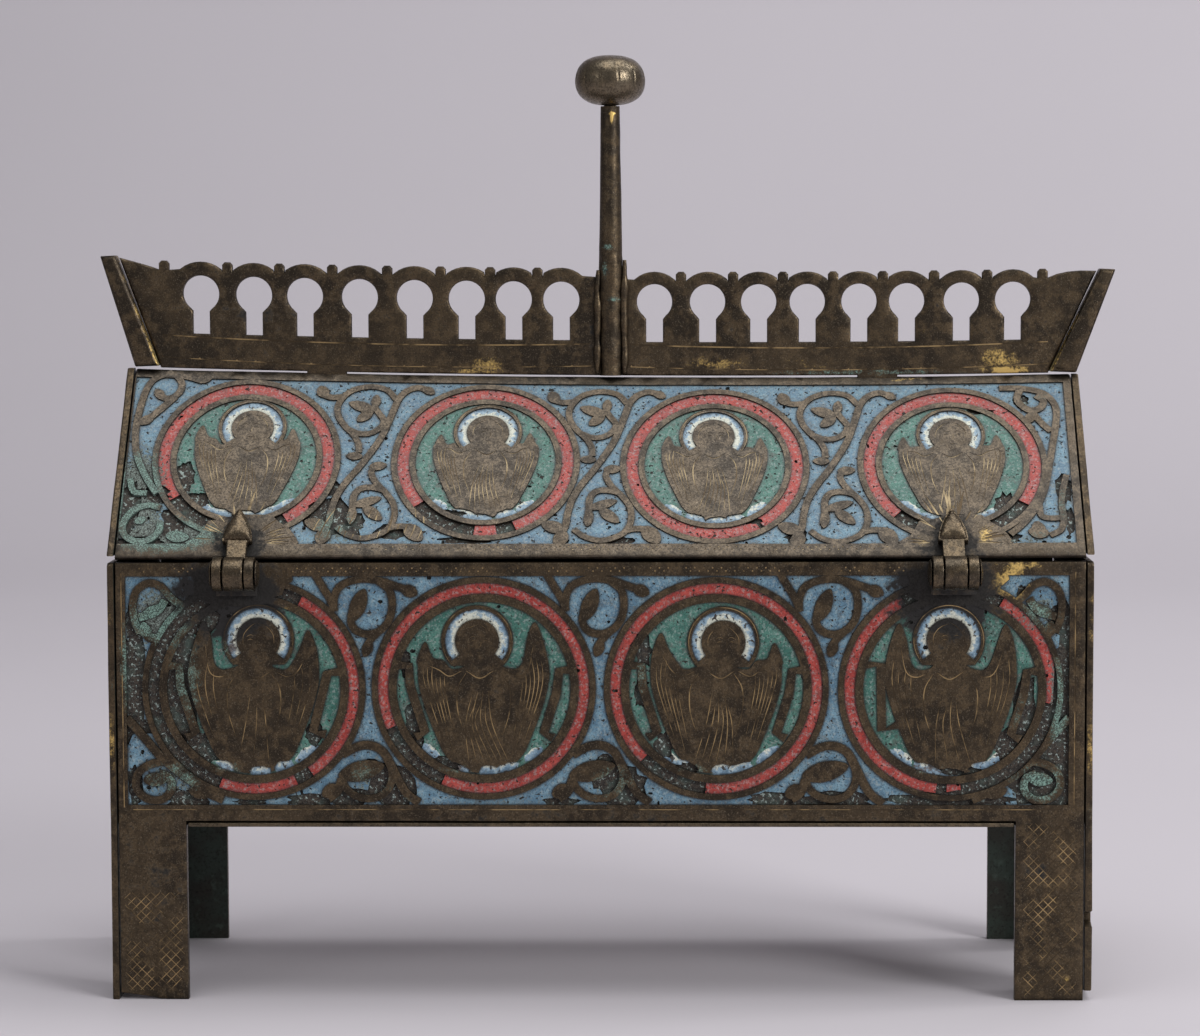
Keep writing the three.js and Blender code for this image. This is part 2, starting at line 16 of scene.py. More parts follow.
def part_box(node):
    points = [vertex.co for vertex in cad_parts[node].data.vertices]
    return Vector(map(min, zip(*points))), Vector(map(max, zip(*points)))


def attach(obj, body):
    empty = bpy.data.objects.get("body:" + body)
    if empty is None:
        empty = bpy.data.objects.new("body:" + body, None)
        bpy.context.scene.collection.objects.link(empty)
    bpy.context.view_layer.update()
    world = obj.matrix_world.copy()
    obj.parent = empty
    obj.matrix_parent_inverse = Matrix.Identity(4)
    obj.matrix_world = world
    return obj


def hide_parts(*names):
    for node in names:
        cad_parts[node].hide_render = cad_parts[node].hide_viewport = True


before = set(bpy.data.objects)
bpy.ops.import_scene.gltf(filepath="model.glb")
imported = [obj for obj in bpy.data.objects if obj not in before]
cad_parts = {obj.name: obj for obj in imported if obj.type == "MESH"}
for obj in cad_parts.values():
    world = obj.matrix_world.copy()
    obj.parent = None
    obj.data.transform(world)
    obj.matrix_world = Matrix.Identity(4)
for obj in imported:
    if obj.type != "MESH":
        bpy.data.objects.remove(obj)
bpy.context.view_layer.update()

MM = 0.001

# What a spot of a plate's surface is
COPPER, BLUE, RED, GREEN, WHITE, BED, LINE, INNER = range(8)
ENAMELS = (BLUE, RED, GREEN, WHITE)
LEVEL_OF = np.array([0, 2, 2, 2, 2, 3, 1, 0])  # by kind
DEPTHS = np.array([0.0, 0.07, 0.25, 0.65])  # copper, engraving, enamel, empty bed
UNEVEN = np.array([0.015, 0.015, 0.05, 0.16])  # at each of these levels
WELD = 0.004  # points closer than this are one
DENTS = [(21, 0.09), (8, 0.05)]  # size and depth of the dents in a plate
SUNK = 0.1  # how far a dented plate lies below its first surface, on average

# Material slots of the record
ENAMEL_SLOT = "champleve_enamel_plate"
COPPER_SLOT = "patinated_gilt_copper"
SHEET_SLOT = "greened_copper_sheet"

# Medallions: centre across and up, on the front of the box and on the front slope
BODY_MEDALLIONS = [(-67.7, 60.8), (-23.3, 60.9), (21.5, 60.8), (66.5, 60.6)]
ROOF_MEDALLIONS = [(-70.5, 23.1), (-23.5, 22.8), (21.4, 22.0), (67.8, 22.1)]
BODY_RINGS = (21.6, 20.5, 18.3, 16.8)  # radii: outer line, red band outside and inside, green ground
ROOF_RINGS = (18.5, 17.4, 14.9, 13.8)
ROOF_STRETCH = 1.03  # the roof's rings are a little taller than wide
BODY_FIELD = ((-92.4, 38.2), (89.2, 82.7))  # enamelled field, lower left and upper right
ROOF_FIELD = ((-94.0, 2.9), (90.7, 42.2))
HEM = 0.9  # from a field's lower edge to the engraved line below it


# Outlines and curves


def turned(points, degrees):
    c, s = math.cos(math.radians(degrees)), math.sin(math.radians(degrees))
    return np.asarray(points, float) @ np.array([[c, s], [-s, c]])


def smooth(points, steps=6, closed=False):
    """A curve through the points."""
    p = np.array(points, float)
    if closed:
        p = np.vstack([p[-1:], p, p[:2]])
    else:
        p = np.vstack([2 * p[0] - p[1], p, 2 * p[-1] - p[-2]])
    t = np.linspace(0, 1, steps, endpoint=False)[:, None]
    parts = []
    for a, b, c, d in zip(p, p[1:], p[2:], p[3:]):
        bend = 2 * a - 5 * b + 4 * c - d
        twist = 3 * b - a - 3 * c + d
        parts.append(b + 0.5 * ((c - a) * t + bend * t**2 + twist * t**3))
    curve = np.vstack(parts)
    return curve if closed else np.vstack([curve, p[-2:-1]])


def arc(x, y, radius, start=0, stop=360, count=72, squash=1):
    whole = stop - start >= 360
    angles = np.radians(np.linspace(start, stop, count, endpoint=not whole))
    return np.column_stack([x + radius * np.cos(angles), y + radius * squash * np.sin(angles)])


def ribbon(path, width, ends=(1, 1)):
    """Outline of a stroke along a path. ends gives its width at each end, as a share."""
    path = np.asarray(path, float)
    along = np.gradient(path, axis=0)
    along /= np.linalg.norm(along, axis=1)[:, None] + 1e-9
    side = np.column_stack([-along[:, 1], along[:, 0]])
    share = np.linspace(0, 1, len(path))
    first = ends[0] + (1 - ends[0]) * np.clip(share * 3, 0, 1)
    last = ends[1] + (1 - ends[1]) * np.clip((1 - share) * 3, 0, 1)
    half = (width / 2 * first * last)[:, None] * side
    return np.vstack([path + half, (path - half)[::-1]])


def leaf(x, y, length, width, degrees):
    half = [(0, 0.18), (0.35, 0.5), (0.75, 0.4), (1, 0), (0.75, -0.4), (0.35, -0.5), (0, -0.18)]
    return turned(smooth(half, 3, closed=True) * (length, width), degrees) + (x, y)


def rough_oval(x, y, rx, ry, seed, jags=0.22):
    """An irregular patch, as a chipped edge leaves."""
    rng = np.random.default_rng(seed)
    angles = np.linspace(0, 2 * math.pi, 22, endpoint=False)
    radius = 1 + rng.uniform(-jags, jags, len(angles))
    return np.column_stack([x + rx * radius * np.cos(angles), y + ry * radius * np.sin(angles)])


def value_noise(points, size, seed):
    """Smooth noise between -1 and 1 whose bumps are about size across."""
    table = np.random.default_rng(seed).uniform(-1, 1, (64, 64))
    p = np.asarray(points, float) / size
    cell = np.floor(p).astype(int)
    f = p - cell
    f = f * f * (3 - 2 * f)
    i, j = cell[:, 0] % 64, cell[:, 1] % 64
    k, m = (i + 1) % 64, (j + 1) % 64
    low = table[i, j] * (1 - f[:, 0]) + table[k, j] * f[:, 0]
    high = table[i, m] * (1 - f[:, 0]) + table[k, m] * f[:, 0]
    return low * (1 - f[:, 1]) + high * f[:, 1]


def inside(points, loops):
    """Which points lie inside the shape that the loops bound together."""
    result = np.zeros(len(points), bool)
    for loop in loops:
        low, high = loop.min(0), loop.max(0)
        near = np.flatnonzero(((points >= low) & (points <= high)).all(1))
        if not near.size:
            continue
        x, y = points[near, 0:1], points[near, 1:2]
        x0, y0 = loop[:, 0], loop[:, 1]
        x1, y1 = np.roll(x0, -1), np.roll(y0, -1)
        rise = np.where(y1 == y0, 1, y1 - y0)
        crossed = ((y0 > y) != (y1 > y)) & (x < (x1 - x0) * (y - y0) / rise + x0)
        result[near] ^= crossed.sum(1) % 2 == 1
    return result


def edge_distance(points, loops, reach):
    """Distance to the nearest outline, up to reach."""
    best = np.full(len(points), float(reach))
    for loop in loops:
        for a, b in zip(loop, np.roll(loop, -1, 0)):
            low, high = np.minimum(a, b) - reach, np.maximum(a, b) + reach
            near = np.flatnonzero(((points > low) & (points < high)).all(1))
            along = b - a
            t = np.clip((points[near] - a) @ along / max(along @ along, 1e-9), 0, 1)
            gap = np.linalg.norm(points[near] - a - t[:, None] * along, axis=1)
            best[near] = np.minimum(best[near], gap)
    return best


def inset(loop, distance):
    """The loop moved to its left, into the material."""
    before, after = loop - np.roll(loop, 1, 0), np.roll(loop, -1, 0) - loop
    normals = []
    for edge in (before, after):
        edge = edge / (np.linalg.norm(edge, axis=1)[:, None] + 1e-9)
        normals.append(np.column_stack([-edge[:, 1], edge[:, 0]]))
    spread = np.maximum(1 + (normals[0] * normals[1]).sum(1), 0.5)[:, None]
    return loop + distance * (normals[0] + normals[1]) / spread


def divided(loop, step):
    parts = []
    for a, b in zip(loop, np.roll(loop, -1, 0)):
        count = max(1, int(np.ceil(np.linalg.norm(b - a) / step)))
        parts.append(a + (b - a) * np.linspace(0, 1, count, endpoint=False)[:, None])
    return np.vstack(parts)


class Drawing:
    """What is cut into and let into one plate, how its surface has aged, and where light and shade are
    painted on it.
    """

    def __init__(self):
        self.fills = []
        self.losses = []
        self.lines = []
        self.halos = []
        self.patches = {"gild": [], "green": [], "dark": []}

    def fill(self, kind, *loops):
        self.fills.append((kind, [np.asarray(loop, float) for loop in loops]))

    def lose(self, *loops):
        self.losses.extend(np.asarray(loop, float) for loop in loops)

    def line(self, path, width=0.22, ends=(0.3, 0.3)):
        self.lines.append(ribbon(path, width, ends))

    def dot(self, x, y, radius):
        self.lines.append(arc(x, y, radius, count=6))

    def patch(self, which, x, y, rx, ry, strength=1.0):
        self.patches[which].append((x, y, rx, ry, strength))

    def loops(self):
        filled = [loop for _, loops in self.fills for loop in loops]
        return filled + self.losses + self.lines

    def kinds(self, points):
        kinds = np.zeros(len(points), int)
        for kind, loops in self.fills:
            kinds[inside(points, loops)] = kind
        lost = np.zeros(len(points), bool)
        for loop in self.losses:
            lost |= inside(points, [loop])
        cut = np.zeros(len(points), bool)
        for loop in self.lines:
            cut |= inside(points, [loop])
        kinds[lost & np.isin(kinds, ENAMELS)] = BED
        kinds[cut & (kinds == COPPER)] = LINE
        return kinds

    def strength(self, which, points):
        total = np.zeros(len(points))
        for x, y, rx, ry, strength in self.patches[which]:
            away = ((points[:, 0] - x) / rx) ** 2 + ((points[:, 1] - y) / ry) ** 2
            total = np.maximum(total, strength * np.exp(-away))
        return total

    def tone(self, points):
        """0 at the inner edge of a halo or cloud, 1 at its outer edge."""
        tone = np.full(len(points), 0.35)
        for x, y, inner, outer in self.halos:
            away = np.hypot(points[:, 0] - x, points[:, 1] - y)
            near = (away > inner - 0.6) & (away < outer + 0.6)
            tone[near] = np.clip((away[near] - inner) / (outer - inner), 0, 1)
        return tone


# Meshes

MARKS = ("gild", "green", "dark")
SHEET_BEND, TURNED_BEND, WORN_BEND = 38, 45, 50  # degrees from which an edge of each kind is sharp


def placed(name, data):
    """A new object in the scene."""
    thing = bpy.data.objects.new(name, data)
    bpy.context.scene.collection.objects.link(thing)
    return thing


def smoothed(mesh, sharp_from):
    """Smooth shading, with edges that bend by more than sharp_from degrees left sharp."""
    mesh.shade_smooth()
    mesh.set_sharp_from_angle(angle=math.radians(sharp_from))


def write_marks(mesh, strengths):
    """Point attributes that the materials read."""
    for which, values in strengths.items():
        layer = mesh.attributes.new(which, "FLOAT", "POINT")
        layer.data.foreach_set("value", np.asarray(values, np.float32))


def tube_faces(rows, around, first, bottom, top):
    """Faces of a closed tube whose rings of points begin at first, with a point at each end."""
    at = lambda row, k: first + row * around + k % around
    faces = []
    for row in range(rows - 1):
        for k in range(around):
            faces.append((at(row, k), at(row, k + 1), at(row + 1, k + 1), at(row + 1, k)))
    for k in range(around):
        faces.append((bottom, at(0, k + 1), at(0, k)))
        faces.append((top, at(rows - 1, k), at(rows - 1, k + 1)))
    return faces


# Plates


def cad_mesh(node):
    """A CAD node's corners in metres and its triangles, with shared corners merged."""
    work = bmesh.new()
    work.from_mesh(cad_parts[node].data)
    bmesh.ops.remove_doubles(work, verts=work.verts, dist=0.001 * MM)
    work.verts.index_update()
    corners = np.array([v.co[:] for v in work.verts])
    faces = [[v.index for v in face.verts] for face in work.faces]
    normals = [face.normal.copy() for face in work.faces]
    work.free()
    return corners, faces, normals


def face_loops(node, towards, flat):
    """Outlines of a node's face that looks a given way, in that plate's millimetres."""
    corners, faces, normals = cad_mesh(node)
    following, directed = {}, set()
    for face, normal in zip(faces, normals):
        if normal.dot(Vector(towards).normalized()) > 0.97:
            directed.update(zip(face, face[1:] + face[:1]))
    for a, b in directed:
        if (b, a) not in directed:
            following[a] = b
    loops = []
    while following:
        start, chain = next(iter(following)), []
        at = start
        while at in following:
            chain.append(at)
            at = following.pop(at)
        loops.append(flat(corners[chain]))
    area = [float(np.sum(p[:, 0] * np.roll(p[:, 1], -1) - p[:, 1] * np.roll(p[:, 0], -1))) for p in loops]
    largest = int(np.argmax(np.abs(area)))
    result = []
    for i, (loop, size) in enumerate(zip(loops, area)):
        wanted = 1 if i == largest else -1
        result.append(loop if size * wanted > 0 else loop[::-1])
    return result


def triangulated(loops, spots=()):
    """Corners and triangles of the plane cut along every loop."""
    corners, edges = [], []
    for loop in loops:
        first, count = len(corners), len(loop)
        corners.extend(Vector(point) for point in loop)
        edges.extend((first + i, first + (i + 1) % count) for i in range(count))
    corners.extend(Vector(point) for point in spots)
    points, _, faces, _, _, _ = delaunay_2d_cdt(corners, edges, [], 0, WELD)
    points = np.array([p[:] for p in points])
    faces = np.array([f for f in faces if len(f) == 3])
    a, b, c = points[faces[:, 0]], points[faces[:, 1]], points[faces[:, 2]]
    turn = (b[:, 0] - a[:, 0]) * (c[:, 1] - a[:, 1]) - (b[:, 1] - a[:, 1]) * (c[:, 0] - a[:, 0])
    faces[turn < 0] = faces[turn < 0][:, ::-1]
    return points, faces[np.abs(turn) > 1e-9]


def rounding(distance, radius):
    short = np.clip(radius - distance, 0, radius)
    return radius - np.sqrt(radius**2 - short**2)


def sheet_mesh(name, drawing, loops, place, back, finishes, seed, edge=0.3, grain=2.4, same_back=False):
    """A plate with its drawing cut in. place and back put flat points on its outer and inner face."""
    rng = np.random.default_rng(seed)
    rims = [divided(loop, grain) for loop in loops]
    low, high = rims[0].min(0), rims[0].max(0)
    for rim in rims:
        low, high = np.minimum(low, rim.min(0)), np.maximum(high, rim.max(0))
    across, up = np.meshgrid(np.arange(low[0], high[0], grain), np.arange(low[1], high[1], grain))
    spots = np.column_stack([across.ravel(), up.ravel()])
    spots += rng.uniform(-0.4 * grain, 0.4 * grain, spots.shape)
    spots = spots[inside(spots, rims)]
    rings = [inset(rim, edge * share) for rim in rims for share in (0.3, 1.0)]
    points, faces = triangulated(rims + rings + drawing.loops(), spots)
    centres = points[faces].mean(1)
    faces = faces[inside(centres, loops)]
    kinds = drawing.kinds(points[faces].mean(1))
    levels = LEVEL_OF[kinds]
    back_level = len(DEPTHS)

    # Triangle edges, each with the triangle on its left, and the triangle across it
    count = len(points)
    edges = np.vstack([faces[:, [0, 1]], faces[:, [1, 2]], faces[:, [2, 0]]])
    owner = np.tile(np.arange(len(faces)), 3)
    code = edges[:, 0] * count + edges[:, 1]
    other = edges[:, 1] * count + edges[:, 0]
    order = np.argsort(code)
    found = order[np.clip(np.searchsorted(code, other, sorter=order), 0, len(code) - 1)]
    paired = code[found] == other
    across_level = np.where(paired, levels[owner[found]], back_level)

    key = lambda vertex, level: vertex * (back_level + 1) + level
    quads, quad_kinds = [], []
    for i in np.flatnonzero(levels[owner] < across_level):
        a, b = edges[i]
        kind = kinds[owner[i]]
        for level in range(levels[owner[i]], across_level[i]):
            quads.append([key(a, level), key(a, level + 1), key(b, level + 1), key(b, level)])
            quad_kinds.append(COPPER if kind == LINE or not paired[i] else kind)
    tops = key(faces, levels[:, None])
    if same_back:
        under = key(faces[:, ::-1], back_level)
    else:
        rim_edges = edges[~paired]
        rim_ids = np.unique(rim_edges)
        slot_of = {int(v): i for i, v in enumerate(rim_ids)}
        flat = [Vector(points[v]) for v in rim_ids]
        pairs = [(slot_of[int(a)], slot_of[int(b)]) for a, b in rim_edges]
        made, _, under_faces, origin, _, _ = delaunay_2d_cdt(flat, pairs, [], 0, WELD / 4)
        ids = np.array([rim_ids[source[0]] for source in origin])
        under_faces = np.array(under_faces)
        middle = points[ids][under_faces].mean(1)
        under_faces = under_faces[inside(middle, loops)]
        corners = points[ids][under_faces]
        one, two = corners[:, 1] - corners[:, 0], corners[:, 2] - corners[:, 0]
        upright = one[:, 0] * two[:, 1] - one[:, 1] * two[:, 0] > 0
        under_faces[upright] = under_faces[upright][:, ::-1]
        under = key(ids[under_faces], back_level)

    polygons = [list(face) for face in tops] + quads + [list(face) for face in under]
    slots = list(kinds) + quad_kinds + [COPPER if same_back else INNER] * len(under)
    used, renumbered = np.unique(np.concatenate([np.ravel(p) for p in polygons]), return_inverse=True)
    vertex, level = used // (back_level + 1), used % (back_level + 1)
    flat = points[vertex]

    worn = rounding(edge_distance(flat, loops, edge), edge)
    dents = sum(deep * value_noise(flat, size, seed + 1 + i) for i, (size, deep) in enumerate(DENTS)) + SUNK
    on_back = level == back_level
    shown = np.minimum(level, back_level - 1)
    rough = UNEVEN[shown] * (value_noise(flat, 0.9, seed + 3) + 0.6 * value_noise(flat, 2.5, seed + 4))
    depth = DEPTHS[shown] + worn + np.maximum(dents, 0) + np.abs(rough)
    positions = place(flat, depth)
    positions[on_back] = back(flat[on_back], worn[on_back] if same_back else 0 * worn[on_back])

    mesh = bpy.data.meshes.new(name)
    flat_polygons, at = [], 0
    for polygon in polygons:
        flat_polygons.append(renumbered[at : at + len(polygon)].tolist())
        at += len(polygon)
    mesh.from_pydata(positions.tolist(), [], flat_polygons)
    mesh.polygons.foreach_set("material_index", np.array(slots, dtype=np.int32))
    values = {"tone": drawing.tone(flat)} | {which: drawing.strength(which, flat) for which in MARKS}
    write_marks(mesh, {which: np.where(on_back, 0, strength) for which, strength in values.items()})
    for finish in finishes:
        mesh.materials.append(finish)
    smoothed(mesh, SHEET_BEND)
    mesh.update()
    return placed(name, mesh)


# Materials


class Recipe:
    """One node material, built from object coordinates in metres."""

    def __init__(self, name):
        self.material = bpy.data.materials.new(name)
        self.material.use_nodes = True
        self.nodes = self.material.node_tree.nodes
        self.links = self.material.node_tree.links
        self.shader = self.nodes["Principled BSDF"]
        self.place = self.nodes.new("ShaderNodeTexCoord").outputs["Object"]

    def put(self, target, value):
        if isinstance(value, bpy.types.NodeSocket):
            self.links.new(value, target)
        else:
            target.default_value = value

    def noise(self, size_mm, detail=3.0, roughness=0.55, stretch=None):
        node = self.nodes.new("ShaderNodeTexNoise")
        node.inputs["Scale"].default_value = 1 / (size_mm * MM)
        node.inputs["Detail"].default_value = detail
        node.inputs["Roughness"].default_value = roughness
        place = self.place
        if stretch:
            mapping = self.nodes.new("ShaderNodeMapping")
            mapping.inputs["Scale"].default_value = stretch
            self.links.new(self.place, mapping.inputs["Vector"])
            place = mapping.outputs["Vector"]
        self.links.new(place, node.inputs["Vector"])
        return node.outputs["Fac"]

    def attribute(self, name):
        node = self.nodes.new("ShaderNodeAttribute")
        node.attribute_name = name
        return node.outputs["Fac"]

    def math(self, operation, a, b=0.0, clamp=False):
        node = self.nodes.new("ShaderNodeMath")
        node.operation = operation
        node.use_clamp = clamp
        self.put(node.inputs[0], a)
        self.put(node.inputs[1], b)
        return node.outputs[0]

    def total(self, first, *others):
        for other in others:
            first = self.math("ADD", first, other)
        return first

    def swing(self, noise, width):
        """Noise about zero."""
        return self.math("MULTIPLY", self.math("SUBTRACT", noise, 0.5), width)

    def edge_grime_and_shade(self, base, noise, low, high, most):
        # Painted shade with some grime: the colour darkens where raised metal stands close around a spot.
        edge = self.total(self.crevice_shade(1.2), self.swing(noise, 0.35))
        return self.mix(self.between(edge, low, high, 0, most), base, GRIME_AND_SHADE)

    def crevice_shade(self, reach_mm, samples=6):
        """1 where other metal stands close around a spot, as in the corner of a cell. The materials use it
        to paint shade into their colour.
        """
        node = self.nodes.new("ShaderNodeAmbientOcclusion")
        node.samples = samples
        node.inputs["Distance"].default_value = reach_mm * MM
        return self.math("SUBTRACT", 1.0, node.outputs["AO"])

    def between(self, value, low, high, to_low=0.0, to_high=1.0):
        node = self.nodes.new("ShaderNodeMapRange")
        node.interpolation_type = "SMOOTHSTEP"
        for name, number in zip(("From Min", "From Max", "To Min", "To Max"), (low, high, to_low, to_high)):
            node.inputs[name].default_value = number
        self.put(node.inputs["Value"], value)
        return node.outputs["Result"]

    def mix(self, share, a, b):
        node = self.nodes.new("ShaderNodeMix")
        node.data_type = "RGBA"
        self.put(node.inputs["Factor"], share)
        self.put(node.inputs["A"], self.colour(a))
        self.put(node.inputs["B"], self.colour(b))
        return node.outputs["Result"]

    def colour(self, value):
        return value if isinstance(value, bpy.types.NodeSocket) else (*value, 1.0)

    def bump(self, height, distance_mm, strength=1.0, normal=None):
        node = self.nodes.new("ShaderNodeBump")
        node.inputs["Distance"].default_value = distance_mm * MM
        node.inputs["Strength"].default_value = strength
        self.put(node.inputs["Height"], height)
        if normal is not None:
            self.put(node.inputs["Normal"], normal)
        return node.outputs["Normal"]

    def finish(self, base, roughness, metallic=None, normal=None):
        self.put(self.shader.inputs["Base Color"], base)
        self.put(self.shader.inputs["Roughness"], roughness)
        if metallic is not None:
            self.put(self.shader.inputs["Metallic"], metallic)
        if normal is not None:
            self.put(self.shader.inputs["Normal"], normal)
        return self.material


DARK_PATINA = (0.040, 0.031, 0.022)
BROWN_PATINA = (0.082, 0.060, 0.037)
WARM_PATINA = (0.135, 0.096, 0.055)
RUBBED_PATINA = (0.30, 0.245, 0.17)
GOLD = (0.72, 0.50, 0.17)
VERDIGRIS = (0.22, 0.36, 0.30)
GREEN_GRIME = (0.035, 0.055, 0.045)
# Near black, for soot and for painted shade and shadow.
SOOT_AND_SHADOW = (0.006, 0.005, 0.004)
DUST = (0.21, 0.21, 0.205)
RAGGED = 2.4  # how far noise tears the edge of a dark patch, of soot and of painted shadow


def patinated_copper(name, golden=0.0, green=0.0, lighter=0.0, dust=0.0, scratches=0.5, gloss=0.36):
    """Old gilt copper: brown patina, rubbed gold and painted highlights in gold, corrosion in patches, soot
    and painted shadow where the dark marks lie, and painted shade in the corners.
    """
    r = Recipe(name)
    broad, middle, fine = r.noise(14, 4, 0.65), r.noise(2.4, 4, 0.65), r.noise(0.42, 4, 0.7)
    base = r.mix(r.between(broad, 0.42, 0.6), DARK_PATINA, BROWN_PATINA)
    base = r.mix(r.between(middle, 0.44, 0.62, 0, 0.75), base, WARM_PATINA)
    if lighter:
        base = r.mix(lighter, base, RUBBED_PATINA)
    base = r.mix(r.between(fine, 0.48, 0.62, 0, 0.75), base, DARK_PATINA)
    grit = r.noise(0.25, 3, 0.7)
    base = r.mix(r.between(grit, 0.56, 0.68, 0, 0.5), base, RUBBED_PATINA)
    spots = r.math("ADD", r.math("MULTIPLY", middle, 0.5), r.math("MULTIPLY", fine, 0.5))
    gild = r.between(r.total(r.attribute("gild"), golden, spots), 0.86, 1.06)
    base = r.mix(gild, base, GOLD)
    crust = r.between(r.total(r.attribute("green"), green, spots), 0.84, 1.08)
    base = r.mix(crust, base, r.mix(r.between(grit, 0.44, 0.6), GREEN_GRIME, VERDIGRIS))
    if dust:
        base = r.mix(r.between(middle, 0.35, 0.65, 0.6 * dust, 1.4 * dust), base, DUST)
    # Painted shadow and soot, where the dark marks lie.
    dirt_and_shadow = r.between(r.total(r.attribute("dark"), r.swing(middle, RAGGED)), 0.3, 0.75, 0, 0.96)
    base = r.mix(dirt_and_shadow, base, SOOT_AND_SHADOW)
    # Painted shade in corners and crevices.
    base = r.mix(r.between(r.crevice_shade(1.6), 0.2, 0.7, 0, 0.8), base, SOOT_AND_SHADOW)
    dull = r.math("MULTIPLY", r.math("MAXIMUM", crust, dirt_and_shadow), 0.35)
    roughness = r.math("ADD", r.between(fine, 0.4, 0.62, gloss, gloss + 0.2), dull, True)
    metallic = r.math("MULTIPLY", r.math("SUBTRACT", 1.0, r.math("MAXIMUM", crust, dirt_and_shadow)), 0.88)
    normal = r.bump(fine, 0.06, 0.7)
    normal = r.bump(r.noise(0.9, 2, stretch=(1, 1, 0.12)), 0.03, scratches, normal)
    normal = r.bump(r.noise(4.5, 2), 0.25, 0.5, normal)
    return r.finish(base, roughness, metallic, normal)


def engraved_line(name, bright):
    """The bottom of an engraved line, where the gilding lasts."""
    r = Recipe(name)
    kept = r.between(r.noise(5, 3), 0.42, 0.62)
    base = r.mix(kept, BROWN_PATINA, bright)
    return r.finish(base, 0.42, 0.95)


WEATHERED = (0.21, 0.26, 0.23)
# Dark for grime in pits, and for painted shade at cell edges and in empty cells.
GRIME_AND_SHADE = (0.018, 0.015, 0.012)
SALTS = (0.40, 0.45, 0.43)


def enamel(name, deep, pale, worn=0.5):
    """Opaque glass with pits, specks, painted shade with some grime at its edges, soot and painted shadow
    where the dark marks lie and, in places, a weathered crust.
    """
    r = Recipe(name)
    cloud, grain, fine = r.noise(3.0, 5, 0.65), r.noise(0.6, 4, 0.7), r.noise(0.26, 3, 0.7)
    base = r.mix(r.between(cloud, 0.4, 0.62), deep, pale)
    base = r.mix(r.between(fine, 0.48, 0.6, 0, 0.6), base, tuple(0.3 * c for c in deep))
    base = r.mix(r.between(grain, 0.5, 0.64, 0, 0.42), base, SALTS)
    stains = r.between(r.noise(2.2, 5, 0.75), 0.53, 0.66, 0, worn)
    base = r.mix(stains, base, (0.075, 0.07, 0.058))
    crust = r.between(r.total(r.attribute("green"), grain), 0.8, 1.02)
    base = r.mix(crust, base, r.mix(r.between(fine, 0.42, 0.6), (0.035, 0.038, 0.032), WEATHERED))
    pits = r.between(r.noise(0.8, 3, 0.5), 0.62, 0.66)
    base = r.mix(pits, base, GRIME_AND_SHADE)
    base = r.edge_grime_and_shade(base, grain, 0.05, 0.27, 0.88)
    # Painted shadow and soot, where the dark marks lie.
    soiled_and_shadowed = r.total(r.attribute("dark"), r.swing(cloud, RAGGED))
    base = r.mix(r.between(soiled_and_shadowed, 0.3, 0.75), base, SOOT_AND_SHADOW)
    rough = r.math("ADD", r.math("MULTIPLY", pits, 0.4), r.math("MULTIPLY", crust, 0.35))
    roughness = r.math("ADD", r.between(cloud, 0.4, 0.6, 0.34, 0.5), rough, True)
    normal = r.bump(r.math("SUBTRACT", 1.0, pits), 0.14, 0.8)
    normal = r.bump(fine, 0.05, 0.6, normal)
    normal = r.bump(cloud, 0.25, 0.7, normal)
    return r.finish(base, roughness, None, normal)


def shaded_enamel(name):
    """White enamel that runs into blue, in haloes and clouds."""
    r = Recipe(name)
    grain, fine = r.noise(1.1, 4, 0.65), r.noise(0.3, 3, 0.7)
    tone = r.total(r.attribute("tone"), r.swing(grain, 2.0))
    base = r.mix(r.between(tone, 0.3, 0.62), (0.64, 0.66, 0.56), (0.27, 0.39, 0.48))
    base = r.mix(r.between(tone, 0.62, 1.0), base, (0.11, 0.20, 0.29))
    base = r.mix(r.between(fine, 0.5, 0.64, 0, 0.5), base, (0.13, 0.14, 0.12))
    base = r.mix(r.between(r.noise(0.7, 3, 0.5), 0.6, 0.65), base, (0.04, 0.035, 0.03))
    crust = r.between(r.total(r.attribute("green"), grain), 0.8, 1.02)
    base = r.mix(crust, base, r.mix(r.between(fine, 0.42, 0.6), (0.06, 0.05, 0.045), (0.20, 0.18, 0.17)))
    # Painted shade with some grime at the edges of the cells.
    base = r.edge_grime_and_shade(base, grain, 0.08, 0.32, 0.85)
    return r.finish(base, 0.4, None, r.bump(grain, 0.15, 0.7))


def empty_bed(name):
    """A cut cell whose enamel is gone: dark metal with crumbs of glass and corrosion, and painted shade in
    its corners.
    """
    r = Recipe(name)
    grain, crumbs = r.noise(0.5, 4, 0.65), r.noise(0.7, 3, 0.7)
    base = r.mix(r.between(grain, 0.35, 0.7), (0.014, 0.011, 0.009), (0.070, 0.055, 0.040))
    base = r.mix(r.between(r.noise(3), 0.48, 0.72, 0, 0.6), base, (0.06, 0.10, 0.085))
    base = r.mix(r.between(crumbs, 0.57, 0.63), base, (0.33, 0.40, 0.37))
    # Painted shade in the corners of the empty cell.
    base = r.mix(r.between(r.crevice_shade(1.4), 0.2, 0.6, 0, 0.85), base, GRIME_AND_SHADE)
    normal = r.bump(grain, 0.35, 0.9)
    return r.finish(base, 0.6, 0.15, normal)


